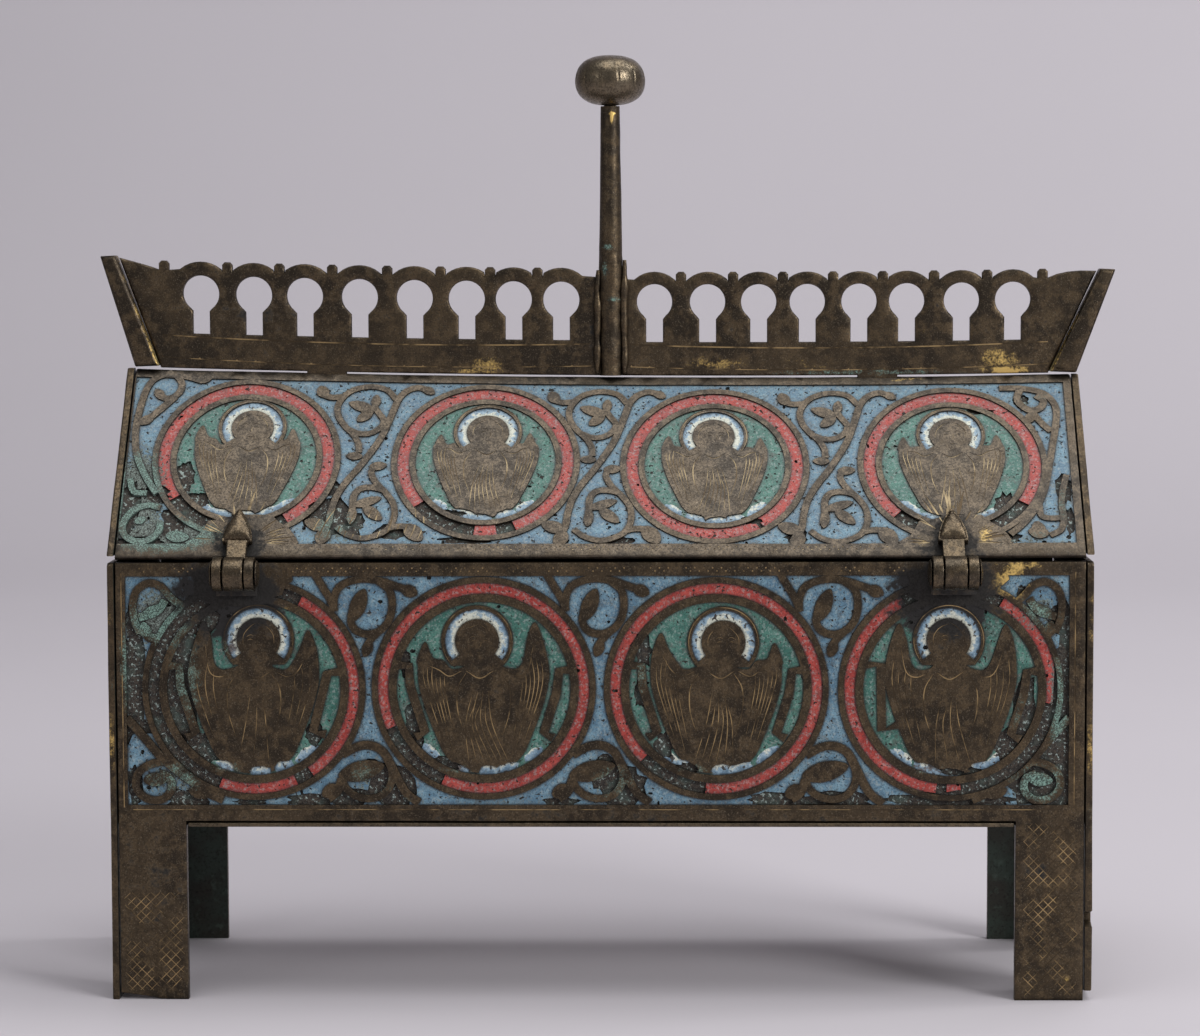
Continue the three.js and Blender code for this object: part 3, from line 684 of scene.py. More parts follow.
def bare_inside(name):
    """Ungilt copper of the inner faces, dark with a thin green bloom."""
    r = Recipe(name)
    broad, fine = r.noise(9, 4), r.noise(0.6, 4, 0.65)
    base = r.mix(r.between(broad, 0.35, 0.7), (0.030, 0.028, 0.022), (0.035, 0.050, 0.040))
    base = r.mix(r.between(r.noise(2.2, 4), 0.55, 0.75, 0, 0.5), base, (0.075, 0.105, 0.085))
    base = r.mix(r.between(fine, 0.5, 0.7, 0, 0.6), base, (0.012, 0.011, 0.009))
    return r.finish(base, r.between(fine, 0.3, 0.8, 0.5, 0.7), 0.45, r.bump(fine, 0.08, 0.6))


def painted_stage(name, tone):
    r = Recipe(name)
    base = r.mix(r.between(r.noise(220, 2), 0.3, 0.7, 0, 0.25), tone, tuple(0.94 * c for c in tone))
    return r.finish(base, 0.75)


POLISHED = {"scratches": 0.2}
FINISHES = {
    "plate": patinated_copper("gilt_copper_patina"),
    "roof": patinated_copper("dusty_gilt_copper", dust=0.14),
    "crest": patinated_copper("crest_copper", golden=0.06, green=0.06),
    "knob": patinated_copper("knob_copper", golden=0.04, lighter=0.35, gloss=0.24, **POLISHED),
    "hinge": patinated_copper("hinge_copper", golden=0.03, green=0.03, lighter=0.1, gloss=0.24, **POLISHED),
    "green": patinated_copper("greened_copper", green=0.26, lighter=0.2),
    "blue": enamel("blue_enamel", (0.090, 0.185, 0.265), (0.17, 0.30, 0.38)),
    "red": enamel("red_enamel", (0.34, 0.035, 0.026), (0.47, 0.064, 0.048), 0.3),
    "turquoise": enamel("turquoise_enamel", (0.034, 0.135, 0.105), (0.085, 0.22, 0.175), 0.6),
    "white": shaded_enamel("white_and_blue_enamel"),
    "bed": empty_bed("empty_cell"),
    "solder": patinated_copper("old_solder", green=0.2, scratches=0.1),
    "line": engraved_line("engraved_gilt_line", (0.50, 0.35, 0.17)),
    "dusty_line": engraved_line("dusty_engraved_line", (0.30, 0.235, 0.14)),
    "inner": bare_inside("greened_inner_copper"),
}


def plate_finishes(metal):
    line = "dusty_line" if metal == "roof" else "line"
    return [FINISHES[k] for k in (metal, "blue", "red", "turquoise", "white", "bed", line, "inner")]


# Scrollwork and figures

# A motif has strokes (width, points) and leaves (x, y, length, width, degrees)
ROOF_SCROLL = {
    "strokes": [
        (
            1.3,
            [(-8, -18.2), (-6.6, -15.6), (-6.1, -12.2), (-5.2, -8.6), (-3.4, -5), (-1.4, -2), (0.6, 1.4)]
            + [(2.6, 5.2), (3.8, 8.6), (4.8, 12), (5.8, 15.2), (7.4, 17.2), (9.6, 18), (11.6, 17.2)],
        ),
        (
            1.2,
            [(5.2, 15), (3.4, 17.2), (0.6, 18), (-2.2, 17.6), (-4.6, 16.2), (-6.2, 13.4), (-6, 10.6)]
            + [(-4.6, 8.2), (-2.9, 6.3), (-1.7, 4), (-1.5, 1.8)],
        ),
        (1.3, [(-5, 15.4), (-7.6, 15.2), (-9.4, 15.8)]),
        (
            1.2,
            [(-3.8, 7.4), (-1.6, 6.4), (0.6, 6.6), (2.5, 8), (3, 9.8), (1.9, 11.6), (1.1, 13.2), (1.2, 15)],
        ),
        (
            1.2,
            [(2, -1.2), (1.2, -3), (2.2, -5.4), (4.2, -7.8), (5.9, -10.6), (6.2, -13.6), (5.2, -16.4)]
            + [(3, -18), (0.2, -18.7), (-2.8, -17.8), (-4.9, -16)],
        ),
        (1.3, [(3.8, -7.2), (1.4, -6.6), (-0.8, -7), (-1.9, -8.8), (-2, -11.4), (-2.4, -14.4)]),
        (1.3, [(4.9, -16.4), (7, -15.9), (9.4, -16)]),
    ],
    "leaves": [
        (10.6, 17.9, 2.6, 1.8, -32),
        (-0.9, 0.9, 3.1, 1.8, 178),
        (-8.9, 15.2, 3.0, 2.4, 112),
        (1.1, 13.0, 3.0, 1.8, 84),
        (0.8, 12.2, 5.2, 2.3, 160),
        (0.6, 12.0, 3.8, 2.1, 222),
        (0.9, -1.6, 3.3, 2.0, 6),
        (-1.8, -11.6, 3.8, 1.8, -98),
        (-1.8, -11.0, 5.6, 2.0, 20),
        (0.2, -11.2, 4.8, 2.3, -42),
        (8.6, -15.6, 4.8, 3.2, -50),
        (-6.8, -16.2, 4.6, 2.8, 160),
        (-6.6, -16.6, 3.8, 2.8, 245),
    ],
}
BODY_SCROLL = {
    "strokes": [
        (1.4, [(-10.4, 22.6), (-8.6, 19.6), (-7.2, 17.2), (-6.4, 15)]),
        (
            1.4,
            [(-6.6, 15.8), (-6.4, 18), (-5.4, 19.8), (-3.2, 20.9), (-0.6, 21.3), (2.4, 20.9), (5.4, 19.9)]
            + [(8, 19)],
        ),
        (
            1.4,
            [(2.2, 20.8), (4.1, 19.2), (4.7, 16.6), (4.2, 13.6), (2.6, 11.5), (0.2, 10.6), (-2.2, 11.2)]
            + [(-3.3, 13), (-3, 15.2)],
        ),
        (1.3, [(2.2, 11.2), (0.4, 9.4), (-0.6, 7.8)]),
        (
            1.6,
            [(-5.2, -12.8), (-2.4, -11.3), (0.2, -11), (2.6, -12.2), (4.2, -14.8), (5.6, -17.8)]
            + [(7.2, -20.4), (9.6, -22.2)],
        ),
        (
            1.4,
            [(3.2, -13.2), (4.3, -15.8), (4.2, -18.4), (2.6, -20.6), (0, -21.4), (-2.8, -20.8)]
            + [(-4.7, -19.2), (-5.3, -17.2)],
        ),
        (1.6, [(-5.4, -17.6), (-6.2, -20), (-8, -21.4)]),
    ],
    "leaves": [
        (6.6, 19.5, 3.2, 2.3, -22),
        (-3.0, 13.4, 6.4, 3.0, 68),
        (0.4, 9.2, 3.2, 2.0, -112),
        (-5.6, -17.0, 8.8, 3.8, 14),
        (-5.8, -19.2, 3.8, 2.8, 205),
    ],
}
# In a corner of the box's field, from that corner inwards
UPPER_CORNER = {
    "strokes": [
        (
            1.4,
            [(2.8, -11), (1.8, -8.5), (1.5, -5.5), (2.3, -2.8), (4.6, -1.3), (7, -2), (8.6, -3.8)]
            + [(10.6, -5.4), (13, -6)],
        ),
        (1.5, [(2.6, -8), (4.6, -7.4), (6.6, -6.2), (7.8, -4.6)]),
        (1.6, [(3.0, -10.4), (5.6, -12), (8.6, -10.6), (11, -8)]),
    ],
    "leaves": [(3.4, -9.0, 4.0, 2.0, -70), (3.2, -7.8, 5.0, 2.2, 24)],
}
LOWER_CORNER = {
    "strokes": [
        (1.6, [(0, 17), (3, 13.6), (6.2, 9.8), (9, 7.2), (12.5, 4.6), (15.5, 2.4), (18.5, 1.0)]),
        (
            1.5,
            [(7.6, 8.6), (4.6, 8), (2.2, 6.4), (1.6, 3.6), (3.4, 1.4), (6.4, 1), (8.4, 2.8), (8.2, 5.2)]
            + [(6.2, 6.2)],
        ),
    ],
    "leaves": [(7.6, 5.2, 4.6, 2.6, 185), (12.0, 3.0, 4.0, 2.2, -20)],
}
# At the ends of the roof, from the field's lower outer corner
ROOF_LEFT_END = {
    "strokes": [
        (
            1.3,
            [(13.4, 38.6), (11, 39.4), (8, 40), (5.5, 39.9), (3.5, 38.6), (2.3, 36.1), (1.6, 32.6)]
            + [(1.1, 28.1), (1.2, 24.1), (2, 20.1), (3.5, 16.6), (5.2, 13.6), (6.5, 11.7)],
        ),
        (1.3, [(7.8, 40.1), (9.2, 38.1), (9, 35.9), (7.2, 34.3), (5.2, 34.7), (4.4, 35.7)]),
        (1.4, [(8.2, 34.7), (6, 32.1), (4, 29.9), (2.8, 28.5)]),
        (
            1.3,
            [(7.6, 8.3), (5, 8.9), (2.2, 7.5), (0.6, 4.7), (1.1, 2.1), (3.2, 0.7), (5.8, 0.9), (7.6, 2.7)]
            + [(7.9, 5.1)],
        ),
        (1.2, [(1.0, 15.1), (2.0, 12.1), (4.6, 11.7)]),
    ],
    "leaves": [
        (12.4, 38.7, 3.0, 1.9, 20),
        (5.8, 34.4, 2.6, 1.8, 130),
        (4.2, 29.8, 3.2, 2.0, 215),
        (3.0, 4.9, 2.2, 1.6, 30),
        (9.4, 2.0, 4.4, 2.6, -8),
    ],
}
ROOF_RIGHT_END = {
    "strokes": [
        (
            1.3,
            [(12.7, 38.0), (8.7, 37.9), (4.6, 36.8), (2.6, 34.8), (1.8, 32.2), (2.2, 28.4), (3.0, 24.2)]
            + [(3.8, 20.1), (4.6, 16.1), (5.6, 12.1), (7.5, 8.1), (10, 4.6), (12.6, 2.1)],
        ),
        (1.4, [(8.7, 37.6), (9.3, 34.8), (7.2, 32.4), (5.0, 32.8), (4.2, 34.6), (5.6, 36.0)]),
        (1.3, [(6.6, 32.0), (4.9, 29.1), (3.2, 27.1)]),
        (1.2, [(0.9, 16.4), (1.9, 12.4), (2.3, 8.9), (2.1, 5.9), (2.8, 3.2), (5, 1.8)]),
        (1.2, [(6.6, 9.8), (6.4, 6.6), (4.8, 5.9), (2.4, 6.0)]),
    ],
    "leaves": [(6.4, 31.6, 2.8, 2.0, -60), (7.4, 5.0, 3.8, 2.6, -100), (5.4, 2.2, 3.8, 2.8, 10)],
}


def draw_motif(drawing, motif, x, y, across=1, up=1):
    for width, points in motif["strokes"]:
        path = smooth(points, 5) * (across, up) + (x, y)
        drawing.fill(COPPER, ribbon(path, width))
    for leaf_x, leaf_y, length, width, degrees in motif["leaves"]:
        drawing.fill(COPPER, leaf(leaf_x, leaf_y, length, width, degrees) * (across, up) + (x, y))


def face_lines(drawing, x, y, size, turn):
    """A calm, plain face in a few engraved lines. turn moves its middle sideways."""
    at = lambda points: np.multiply(points, size) + (x, y)
    for side in (-1, 1):
        eye = [(turn + side * 0.17, 0.0), (turn + side * 0.3, 0.03), (turn + side * 0.43, -0.02)]
        drawing.line(at(smooth(eye, 4)), 0.12)
        brow = [(turn + side * 0.11, 0.17), (turn + side * 0.29, 0.24), (turn + side * 0.5, 0.14)]
        drawing.line(at(smooth(brow, 4)), 0.1)
        hair = [(turn, 0.84), (side * 0.42, 0.62), (side * 0.72, 0.24), (side * 0.76, -0.2)]
        drawing.line(at(smooth(hair, 5)), 0.13)
    nose = [(turn + 0.06, 0.1), (turn + 0.06, -0.2), (turn - 0.05, -0.32)]
    drawing.line(at(smooth(nose, 4)), 0.1)
    mouth = [(turn - 0.15, -0.56), (turn, -0.58), (turn + 0.15, -0.56)]
    drawing.line(at(smooth(mouth, 4)), 0.11)


def figure(drawing, x, y, size, look):
    """A half-length winged figure reserved in the copper, with a halo open at the neck."""
    at = lambda points: np.multiply(points, size) + (x, y)
    head_x, head_y = look["head"]
    outline = [(0, -16.4)]
    tips = ((1, look["right"]), (-1, look["left"]))
    for side, (reach, height) in tips:
        half = [
            (4.2, -15.7),
            (7.4, -13.0),
            (9.2, -9.2),
            (11.0, -4.6),
            (12.4, 0.4),
            (12.6, 4.2),
            (reach + 1.5, height - 3.2),
            (reach, height),
            (reach - 1.4, height - 3.0),
            (7.7, 5.4),
            (6.2, 3.8),
            (3.8, 4.2),
            (head_x * side + 2.2, 5.4),
        ]
        points = [(side * a, b) for a, b in half]
        outline += points if side == 1 else points[::-1]
    drawing.fill(COPPER, at(smooth(outline, 4, closed=True)))
    halo = at([(head_x, head_y)])[0]
    rim, glow, head = (r * size for r in look["halo"])
    drawing.fill(COPPER, arc(*halo, rim, -44, 224, 56))
    drawing.fill(WHITE, np.vstack([arc(*halo, glow, -38, 218, 52), arc(*halo, head, -38, 218, 44)[::-1]]))
    drawing.halos.append((*halo, head, glow))
    jaw = head / size
    neck = [(-1.9, 3.0), (1.9, 3.0), (0.62 * jaw, head_y - 0.55 * jaw), (-0.62 * jaw, head_y - 0.55 * jaw)]
    drawing.fill(COPPER, at(np.add(neck, (head_x, 0))))
    drawing.line(arc(*halo, rim - 0.22, -40, 220, 60), 0.18, (0.4, 0.4))
    face_lines(drawing, *halo, head * 0.94, look["turn"])

    for side, (reach, height) in tips:
        kept = look["feathers"]
        for k in range(kept):
            share = (k + 0.5) / kept
            start = (7.2 + share * (reach - 6.6), 2.2 + share * (height - 5.0))
            middle = (6.8 + 5.0 * share, -1.8 + 3.2 * share)
            end = (4.6 + 3.6 * share, -13.4 + 3.8 * share)
            path = smooth([start, middle, end], 8)
            cut = slice(2 * (k % 3), len(path) - 2 * ((k + 1) % 3))
            drawing.line(at(path[cut] * (side, 1)), 0.18, (0.2, 0.3))
        shoulder = [(4.2, 3.4), (6.6, 2.4), (8.6, 3.6), (reach - 0.3, height - 4.4)]
        drawing.line(at(smooth(shoulder, 7) * (side, 1)), 0.2, (0.3, 0.2))
        sleeve = [(3.4, 3.0), (5.0, 0.0), (5.0, -4.4), (3.6, -9.2)]
        drawing.line(at(smooth(sleeve, 6) * (side, 1)), 0.22, (0.3, 0.2))
    collar = [(-2.6, 3.4), (0, 2.0), (2.6, 3.4)]
    drawing.line(at(smooth(collar, 6) + (head_x * 0.6, 0)), 0.22)
    for k in range(look["folds"]):
        share = (k + 0.5) / look["folds"] - 0.5
        bend = look["sway"] * (1 - abs(share))
        top = (share * 3.4 + head_x * 0.5, -0.4 - k % 2 * 2.5)
        fold = smooth([top, (share * 6 + bend, -7), (share * 9 - bend, -14.4)], 7)
        drawing.line(at(fold), 0.18, (0.2, 0.2))


CLOUD_BAND = 2.5


def clouds(drawing, x, y, radius, seed):
    """Flat, scalloped clouds between the figure's hem and the ring, white running into blue."""
    rng = np.random.default_rng(seed)
    drawing.halos.insert(0, (x, y, radius - CLOUD_BAND, radius))
    for angle in (-128, -108, -90, -71, -53):
        turn = math.radians(angle + rng.uniform(-4, 4))
        away = radius - rng.uniform(0.5, 0.9)
        puff = rough_oval(0, 0, rng.uniform(1.8, 2.9), rng.uniform(0.8, 1.3), int(seed * 50 - angle), 0.14)
        middle = (x + away * math.cos(turn), y + away * math.sin(turn))
        drawing.fill(WHITE, turned(puff, math.degrees(turn) + 90) + middle)


def medallion(drawing, x, y, rings, look, stretch=1.0, bars=()):
    outer, red_out, red_in, ground = rings
    ring = lambda radius, count=90: arc(x, y, radius, count=count, squash=stretch)
    drawing.fill(COPPER, ring(outer, 96))
    drawing.fill(RED, ring(red_out, 96))
    drawing.fill(COPPER, ring(red_in))
    drawing.fill(GREEN, ring(ground))
    for bar in bars:
        drawing.fill(COPPER, ribbon(np.add(bar, (x, y)), 1.7))
    if look:
        figure(drawing, x, y, ground / BODY_RINGS[3], look)
        clouds(drawing, x, y, ground * stretch, look["seed"])
        drawing.fill(COPPER, ring(red_in), ring(ground))
    else:
        rosette(drawing, x, y, ground)


def rosette(drawing, x, y, radius):
    """Plain eight-leaved rosette for the sides that are seldom seen."""
    for k in range(8):
        turn = 45 * k
        start = turned([(0.16 * radius, 0)], turn)[0] + (x, y)
        drawing.fill(COPPER, leaf(*start, 0.74 * radius, 0.3 * radius, turn))
        drawing.line(np.array([start, turned([(0.78 * radius, 0)], turn)[0] + (x, y)]), 0.24)
    drawing.fill(COPPER, arc(x, y, 0.26 * radius, count=24))
    drawing.fill(WHITE, arc(x, y, 0.15 * radius, count=18))


BODY_HALO = (6.9, 6.2, 4.2)  # radii: gilt rim, enamel, head
ROOF_HALO = (8.2, 7.4, 5.0)


def look(left, right, head, seed, halo=BODY_HALO, folds=6, sway=1.0, feathers=5, turn=0.0):
    """How one figure differs: wing tips, head place, halo radii, folds, feather lines, turn of the face."""
    return {
        "left": left,
        "right": right,
        "head": head,
        "seed": seed,
        "halo": halo,
        "folds": folds,
        "sway": sway,
        "feathers": feathers,
        "turn": turn,
    }


BODY_LOOKS = [
    look((9.6, 13.2), (10.6, 11.4), (1.0, 9.6), 11, folds=3, sway=0.4, feathers=3, turn=-0.1),
    look((11.2, 9.0), (9.9, 12.8), (-1.2, 9.2), 12, folds=7, sway=-1.6, feathers=6, turn=0.12),
    look((10.6, 10.8), (11.2, 8.8), (1.4, 9.0), 13, folds=6, sway=0.9, feathers=6, turn=0.1),
    look((9.9, 12.8), (10.5, 12.6), (-0.4, 9.6), 14, folds=4, sway=-0.8, feathers=4, turn=0.1),
]
ROOF_LOOKS = [
    look((11.2, 9.4), (10.6, 8.8), (0.8, 9.0), 21, ROOF_HALO, 6, 0.5, 5, -0.1),
    look((10.9, 8.0), (10.4, 8.6), (0.3, 8.8), 22, ROOF_HALO, 7, -0.6, 6, 0.08),
    look((11.0, 8.8), (10.9, 8.2), (-0.2, 8.8), 23, ROOF_HALO, 7, 0.7, 6, 0.1),
    look((11.3, 8.2), (10.8, 8.6), (0.0, 8.8), 24, ROOF_HALO, 5, 0.2, 5, 0.06),
]


def field(drawing, corners):
    (x0, y0), (x1, y1) = corners
    drawing.fill(BLUE, divided(np.array([(x0, y0), (x1, y0), (x1, y1), (x0, y1)]), 6))


def dotted_line(drawing, x0, x1, y, gap=0.85, radius=0.17):
    """Two close rows of punched dots."""
    for i, x in enumerate(np.arange(x0, x1, gap)):
        drawing.dot(x, y + (0.3 if i % 2 else -0.3), radius)


def straight(drawing, a, b, width=0.2):
    count = max(2, int(math.hypot(b[0] - a[0], b[1] - a[1]) / 5))
    drawing.line(np.linspace(a, b, count), width, (1, 1))


def hatching(drawing, low, high, pitch, width, keep):
    """Crossing diagonal lines inside a rectangle. keep says which stretches still show."""
    size = np.subtract(high, low)
    for side in (-1, 1):
        for offset in np.arange(-size[1], size[0], pitch):
            span = np.arange(0, size[1], 1.2)
            across = low[0] + offset + (span if side == 1 else size[1] - span)
            points = np.column_stack([across, low[1] + span])
            within = (across > low[0]) & (across < high[0]) & keep(points)
            shown = np.flatnonzero(within)
            for run in np.split(shown, np.flatnonzero(np.diff(shown) > 1) + 1):
                if len(run) > 1:
                    drawing.line(points[run], width, (0.5, 0.5))


# Front of the box

HINGES = {name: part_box(name + "_hinge_body_leaf") for name in ("left", "right")}
HINGE_X = {name: (low.x + high.x) / 2 / MM for name, (low, high) in HINGES.items()}


def body_front_drawing():
    d = Drawing()
    field(d, BODY_FIELD)
    middle = BODY_MEDALLIONS[1][1]
    for left, right in zip(BODY_MEDALLIONS, BODY_MEDALLIONS[1:]):
        draw_motif(d, BODY_SCROLL, (left[0] + right[0]) / 2, (left[1] + right[1]) / 2)
    (x0, y0), (x1, y1) = BODY_FIELD
    for x, across in ((x0, 1), (x1, -1)):
        draw_motif(d, LOWER_CORNER, x, y0, across)
        draw_motif(d, UPPER_CORNER, x, y1, across)
    bars_right = [(17.0, 3.6), (14.6, 3.4), (14.0, -1.0), (11.6, -8.6), (13.4, -9.6)]
    bars_left = [(-17.0, 4.6), (-14.4, 4.4), (-14.2, 0.6), (-11.4, -8.4), (-13.2, -9.4)]
    square_left = [(-17.0, 4.8), (-13.4, 4.8), (-13.2, -7.8), (-9.6, -6.6)]
    square_right = [(17.0, 3.4), (14.2, 3.0), (11.4, -8.2), (13.8, -8.8)]
    bars = [
        (bars_left, square_right),
        (bars_left, bars_right),
        (bars_left, bars_right),
        (square_left, bars_right),
    ]
    for (x, y), figure_look, pair in zip(BODY_MEDALLIONS, BODY_LOOKS, bars):
        medallion(d, x, y, BODY_RINGS, figure_look, 1.0, pair)
        d.patch("green", x - 5, y - 15.5, 7, 1.8, 0.42)
    for x in HINGE_X.values():
        d.fill(COPPER, rough_oval(x + 0.5, middle + 21.0, 9.5, 5.2, 5, 0.12))
        # Painted shadow below each hinge.
        d.patch("dark", x - 1.5, middle + 17.6, 8.2, 6.8, 2.2)
        d.patch("gild", x + 9.5, middle + 15.5, 4.0, 1.4, 0.42)
    d.patch("gild", HINGE_X["right"] + 11, middle + 20.5, 5.0, 4.5, 0.62)
    d.patch("gild", HINGE_X["right"] + 13, middle + 23.5, 8.0, 1.6, 0.5)

    first, second, third, fourth = BODY_MEDALLIONS
    for x, y, rx, ry, strength in [
        (x0 + 7, y1 - 8, 8, 7, 0.7),
        (x0 + 1, middle + 4, 3, 14, 0.6),
        (first[0] - 13, first[1] + 1, 5, 13, 0.5),
        (first[0] - 5, first[1] + 8, 4, 4, 0.45),
        (x0 + 9, y0 + 5, 9, 5, 0.5),
        (first[0] + 14, first[1] - 8, 3, 8, 0.3),
        (second[0] - 22, y0 + 5, 8, 6, 0.42),
        (second[0] - 15, second[1], 3, 12, 0.34),
        (second[0], y0 + 1, 60, 1.6, 0.34),
        (third[0] - 20, y0 + 5, 8, 6, 0.42),
        (third[0] - 14.5, third[1] + 3, 2.4, 11, 0.42),
        (third[0] + 14.5, third[1] - 2, 2, 8, 0.26),
        (fourth[0] + 13, fourth[1] - 4, 3, 12, 0.4),
        (x1 - 6, y1 - 7, 6, 6, 0.5),
        (x1 - 2, middle - 4, 3, 18, 0.55),
        (x1 - 6, y0 + 4, 8, 5, 0.6),
    ]:
        d.patch("green", x, y, rx, ry, strength)
    ring = (BODY_RINGS[1] + BODY_RINGS[2]) / 2
    for (x, y), start, stop in (
        (first, 62, 250),
        (first, -66, -56),
        (second, 203, 246),
        (third, 224, 264),
        (fourth, 60, 118),
        (fourth, 262, 268),
        (fourth, -84, -8),
    ):
        d.lose(ribbon(arc(x, y, ring, start, stop, 40), 2.9))
    for x, y, rx, ry in [
        (x0 + 1.4, middle + 1, 2.6, 11.5),
        (x0 + 14.5, y1 - 7.5, 4.0, 3.6),
        (x0 + 1.2, y1 - 9.0, 1.3, 3.4),
        (first[0] - 13.6, first[1] + 2, 3.4, 12.5),
        (first[0] - 9.5, first[1] - 11.5, 4.2, 3.4),
        (first[0] + 11.6, first[1] - 8.6, 1.6, 2.4),
        (x0 + 3.4, y0 + 15.4, 4.2, 1.3),
        (x0 + 1.4, y0 + 4.2, 1.6, 3.8),
        (x0 + 11.5, y0 + 1.2, 4.2, 2.0),
        (x0 + 10.6, y0 + 7.6, 2.2, 1.3),
        (first[0] - 1.0, y0 + 0.6, 3.0, 0.9),
        (first[0] + 11.0, y0 + 1.0, 5.0, 1.4),
        (first[0] + 18.0, y0 + 1.6, 4.0, 2.0),
        (second[0] - 18.0, y0 + 3.6, 4.4, 4.6),
        (second[0] - 22.2, y0 + 7.0, 2.2, 1.8),
        (second[0] - 13.4, second[1] - 7.4, 2.0, 5.0),
        (second[0] - 15.0, second[1] + 4.6, 1.0, 3.0),
        (second[0] - 7.4, second[1] - 14.4, 3.4, 1.5),
        (second[0] + 15.0, y0 + 0.6, 3.4, 1.0),
        (second[0] + 23.4, y0 + 6.2, 3.0, 3.4),
        (third[0] - 18.4, y0 + 3.6, 4.4, 5.0),
        (third[0] - 14.0, third[1] + 7.4, 1.6, 3.6),
        (third[0] - 14.6, third[1] - 1.0, 1.2, 2.6),
        (third[0] - 10.0, third[1] - 10.8, 2.0, 2.6),
        (third[0] - 5.4, third[1] - 15.4, 2.4, 1.0),
        (third[0] + 12.4, y0 + 1.0, 6.0, 1.5),
        (third[0] + 23.2, y0 + 1.0, 7.0, 1.6),
        (fourth[0] + 14.2, fourth[1] - 3.0, 2.4, 6.0),
        (fourth[0] + 11.2, fourth[1] - 10.4, 3.6, 3.2),
        (fourth[0] + 2.0, fourth[1] - 15.8, 4.6, 0.9),
        (fourth[0] - 0.5, y0 + 1.0, 12.0, 1.6),
        (x1 - 1.2, middle - 6, 2.4, 18),
        (x1 - 4.8, y0 + 5.6, 6.6, 6.4),
        (x1 - 1.6, y1 - 8.4, 2.2, 3.4),
        (x1 - 9.2, y1 - 3.2, 1.0, 1.4),
    ]:
        d.lose(rough_oval(x, y, rx, ry, int(abs(x * 7 + y))))
    for i in range(60):
        rng = np.random.default_rng(600 + i)
        spot = (rng.uniform(x0, x1), rng.uniform(y0, y1))
        d.lose(rough_oval(*spot, rng.uniform(0.2, 0.6), rng.uniform(0.2, 0.5), 700 + i))

    dotted_line(d, x0 + 2, HINGE_X["left"] - 8, y1 + 1.2)
    dotted_line(d, HINGE_X["left"] + 9, HINGE_X["right"] - 9, y1 + 1.2)
    straight(d, (x0 + 1, y0 - HEM), (x1 - 1, y0 - HEM), 0.16)
    for x in (x0 - 0.75, x1 + 1.1):
        straight(d, (x, y0 - 0.5), (x, y1 + 0.6), 0.2)
        d.patch("gild", x, middle + 3, 0.7, 16, 0.26)
        d.patch("green", x, middle - 8, 1.2, 14, 0.14)
    d.patch("green", first[0] - 20, y1 + 1, 22, 1.5, 0.1)

    # Cross-hatched legs
    foot = {"left": (x0 - 1.6, x0 + 11.3), "right": (x1 - 9.4, x1 + 2.6)}
    low, high = (foot["left"][0] + 0.4, 1.8), (foot["left"][1] - 0.6, 21.5)
    hatching(d, low, high, 1.9, 0.17, lambda p: value_noise(p, 4.5, 77) > -0.6)
    low, high = (foot["right"][0] + 0.6, 1.0), (foot["right"][1] - 0.5, 34.6)
    hatching(d, low, high, 1.9, 0.19, lambda p: value_noise(p, 4.5, 77) > -0.75)
    d.patch("gild", foot["left"][0] + 3, 8.5, 2.8, 4.0, 0.36)
    # Painted highlight along the left leg's right edge, in gold.
    d.patch("gild", foot["left"][1] - 0.4, 4, 1.4, 4.5, 0.3)
    d.patch("gild", foot["right"][1] - 2.6, 4.6, 1.7, 2.2, 0.42)
    d.patch("gild", foot["right"][0] + 5, 32.5, 4.4, 3.2, 0.24)
    d.patch("dark", foot["right"][0] + 3.5, 25.5, 3.2, 2.0, 0.7)
    d.patch("dark", foot["left"][0] + 5, 20, 9, 16, 0.3)
    d.patch("dark", (x0 + x1) / 2, y0 - 2.0, 110, 1.8, 0.34)
    d.patch("green", foot["left"][0], 17, 0.9, 16, 0.3)
    return d


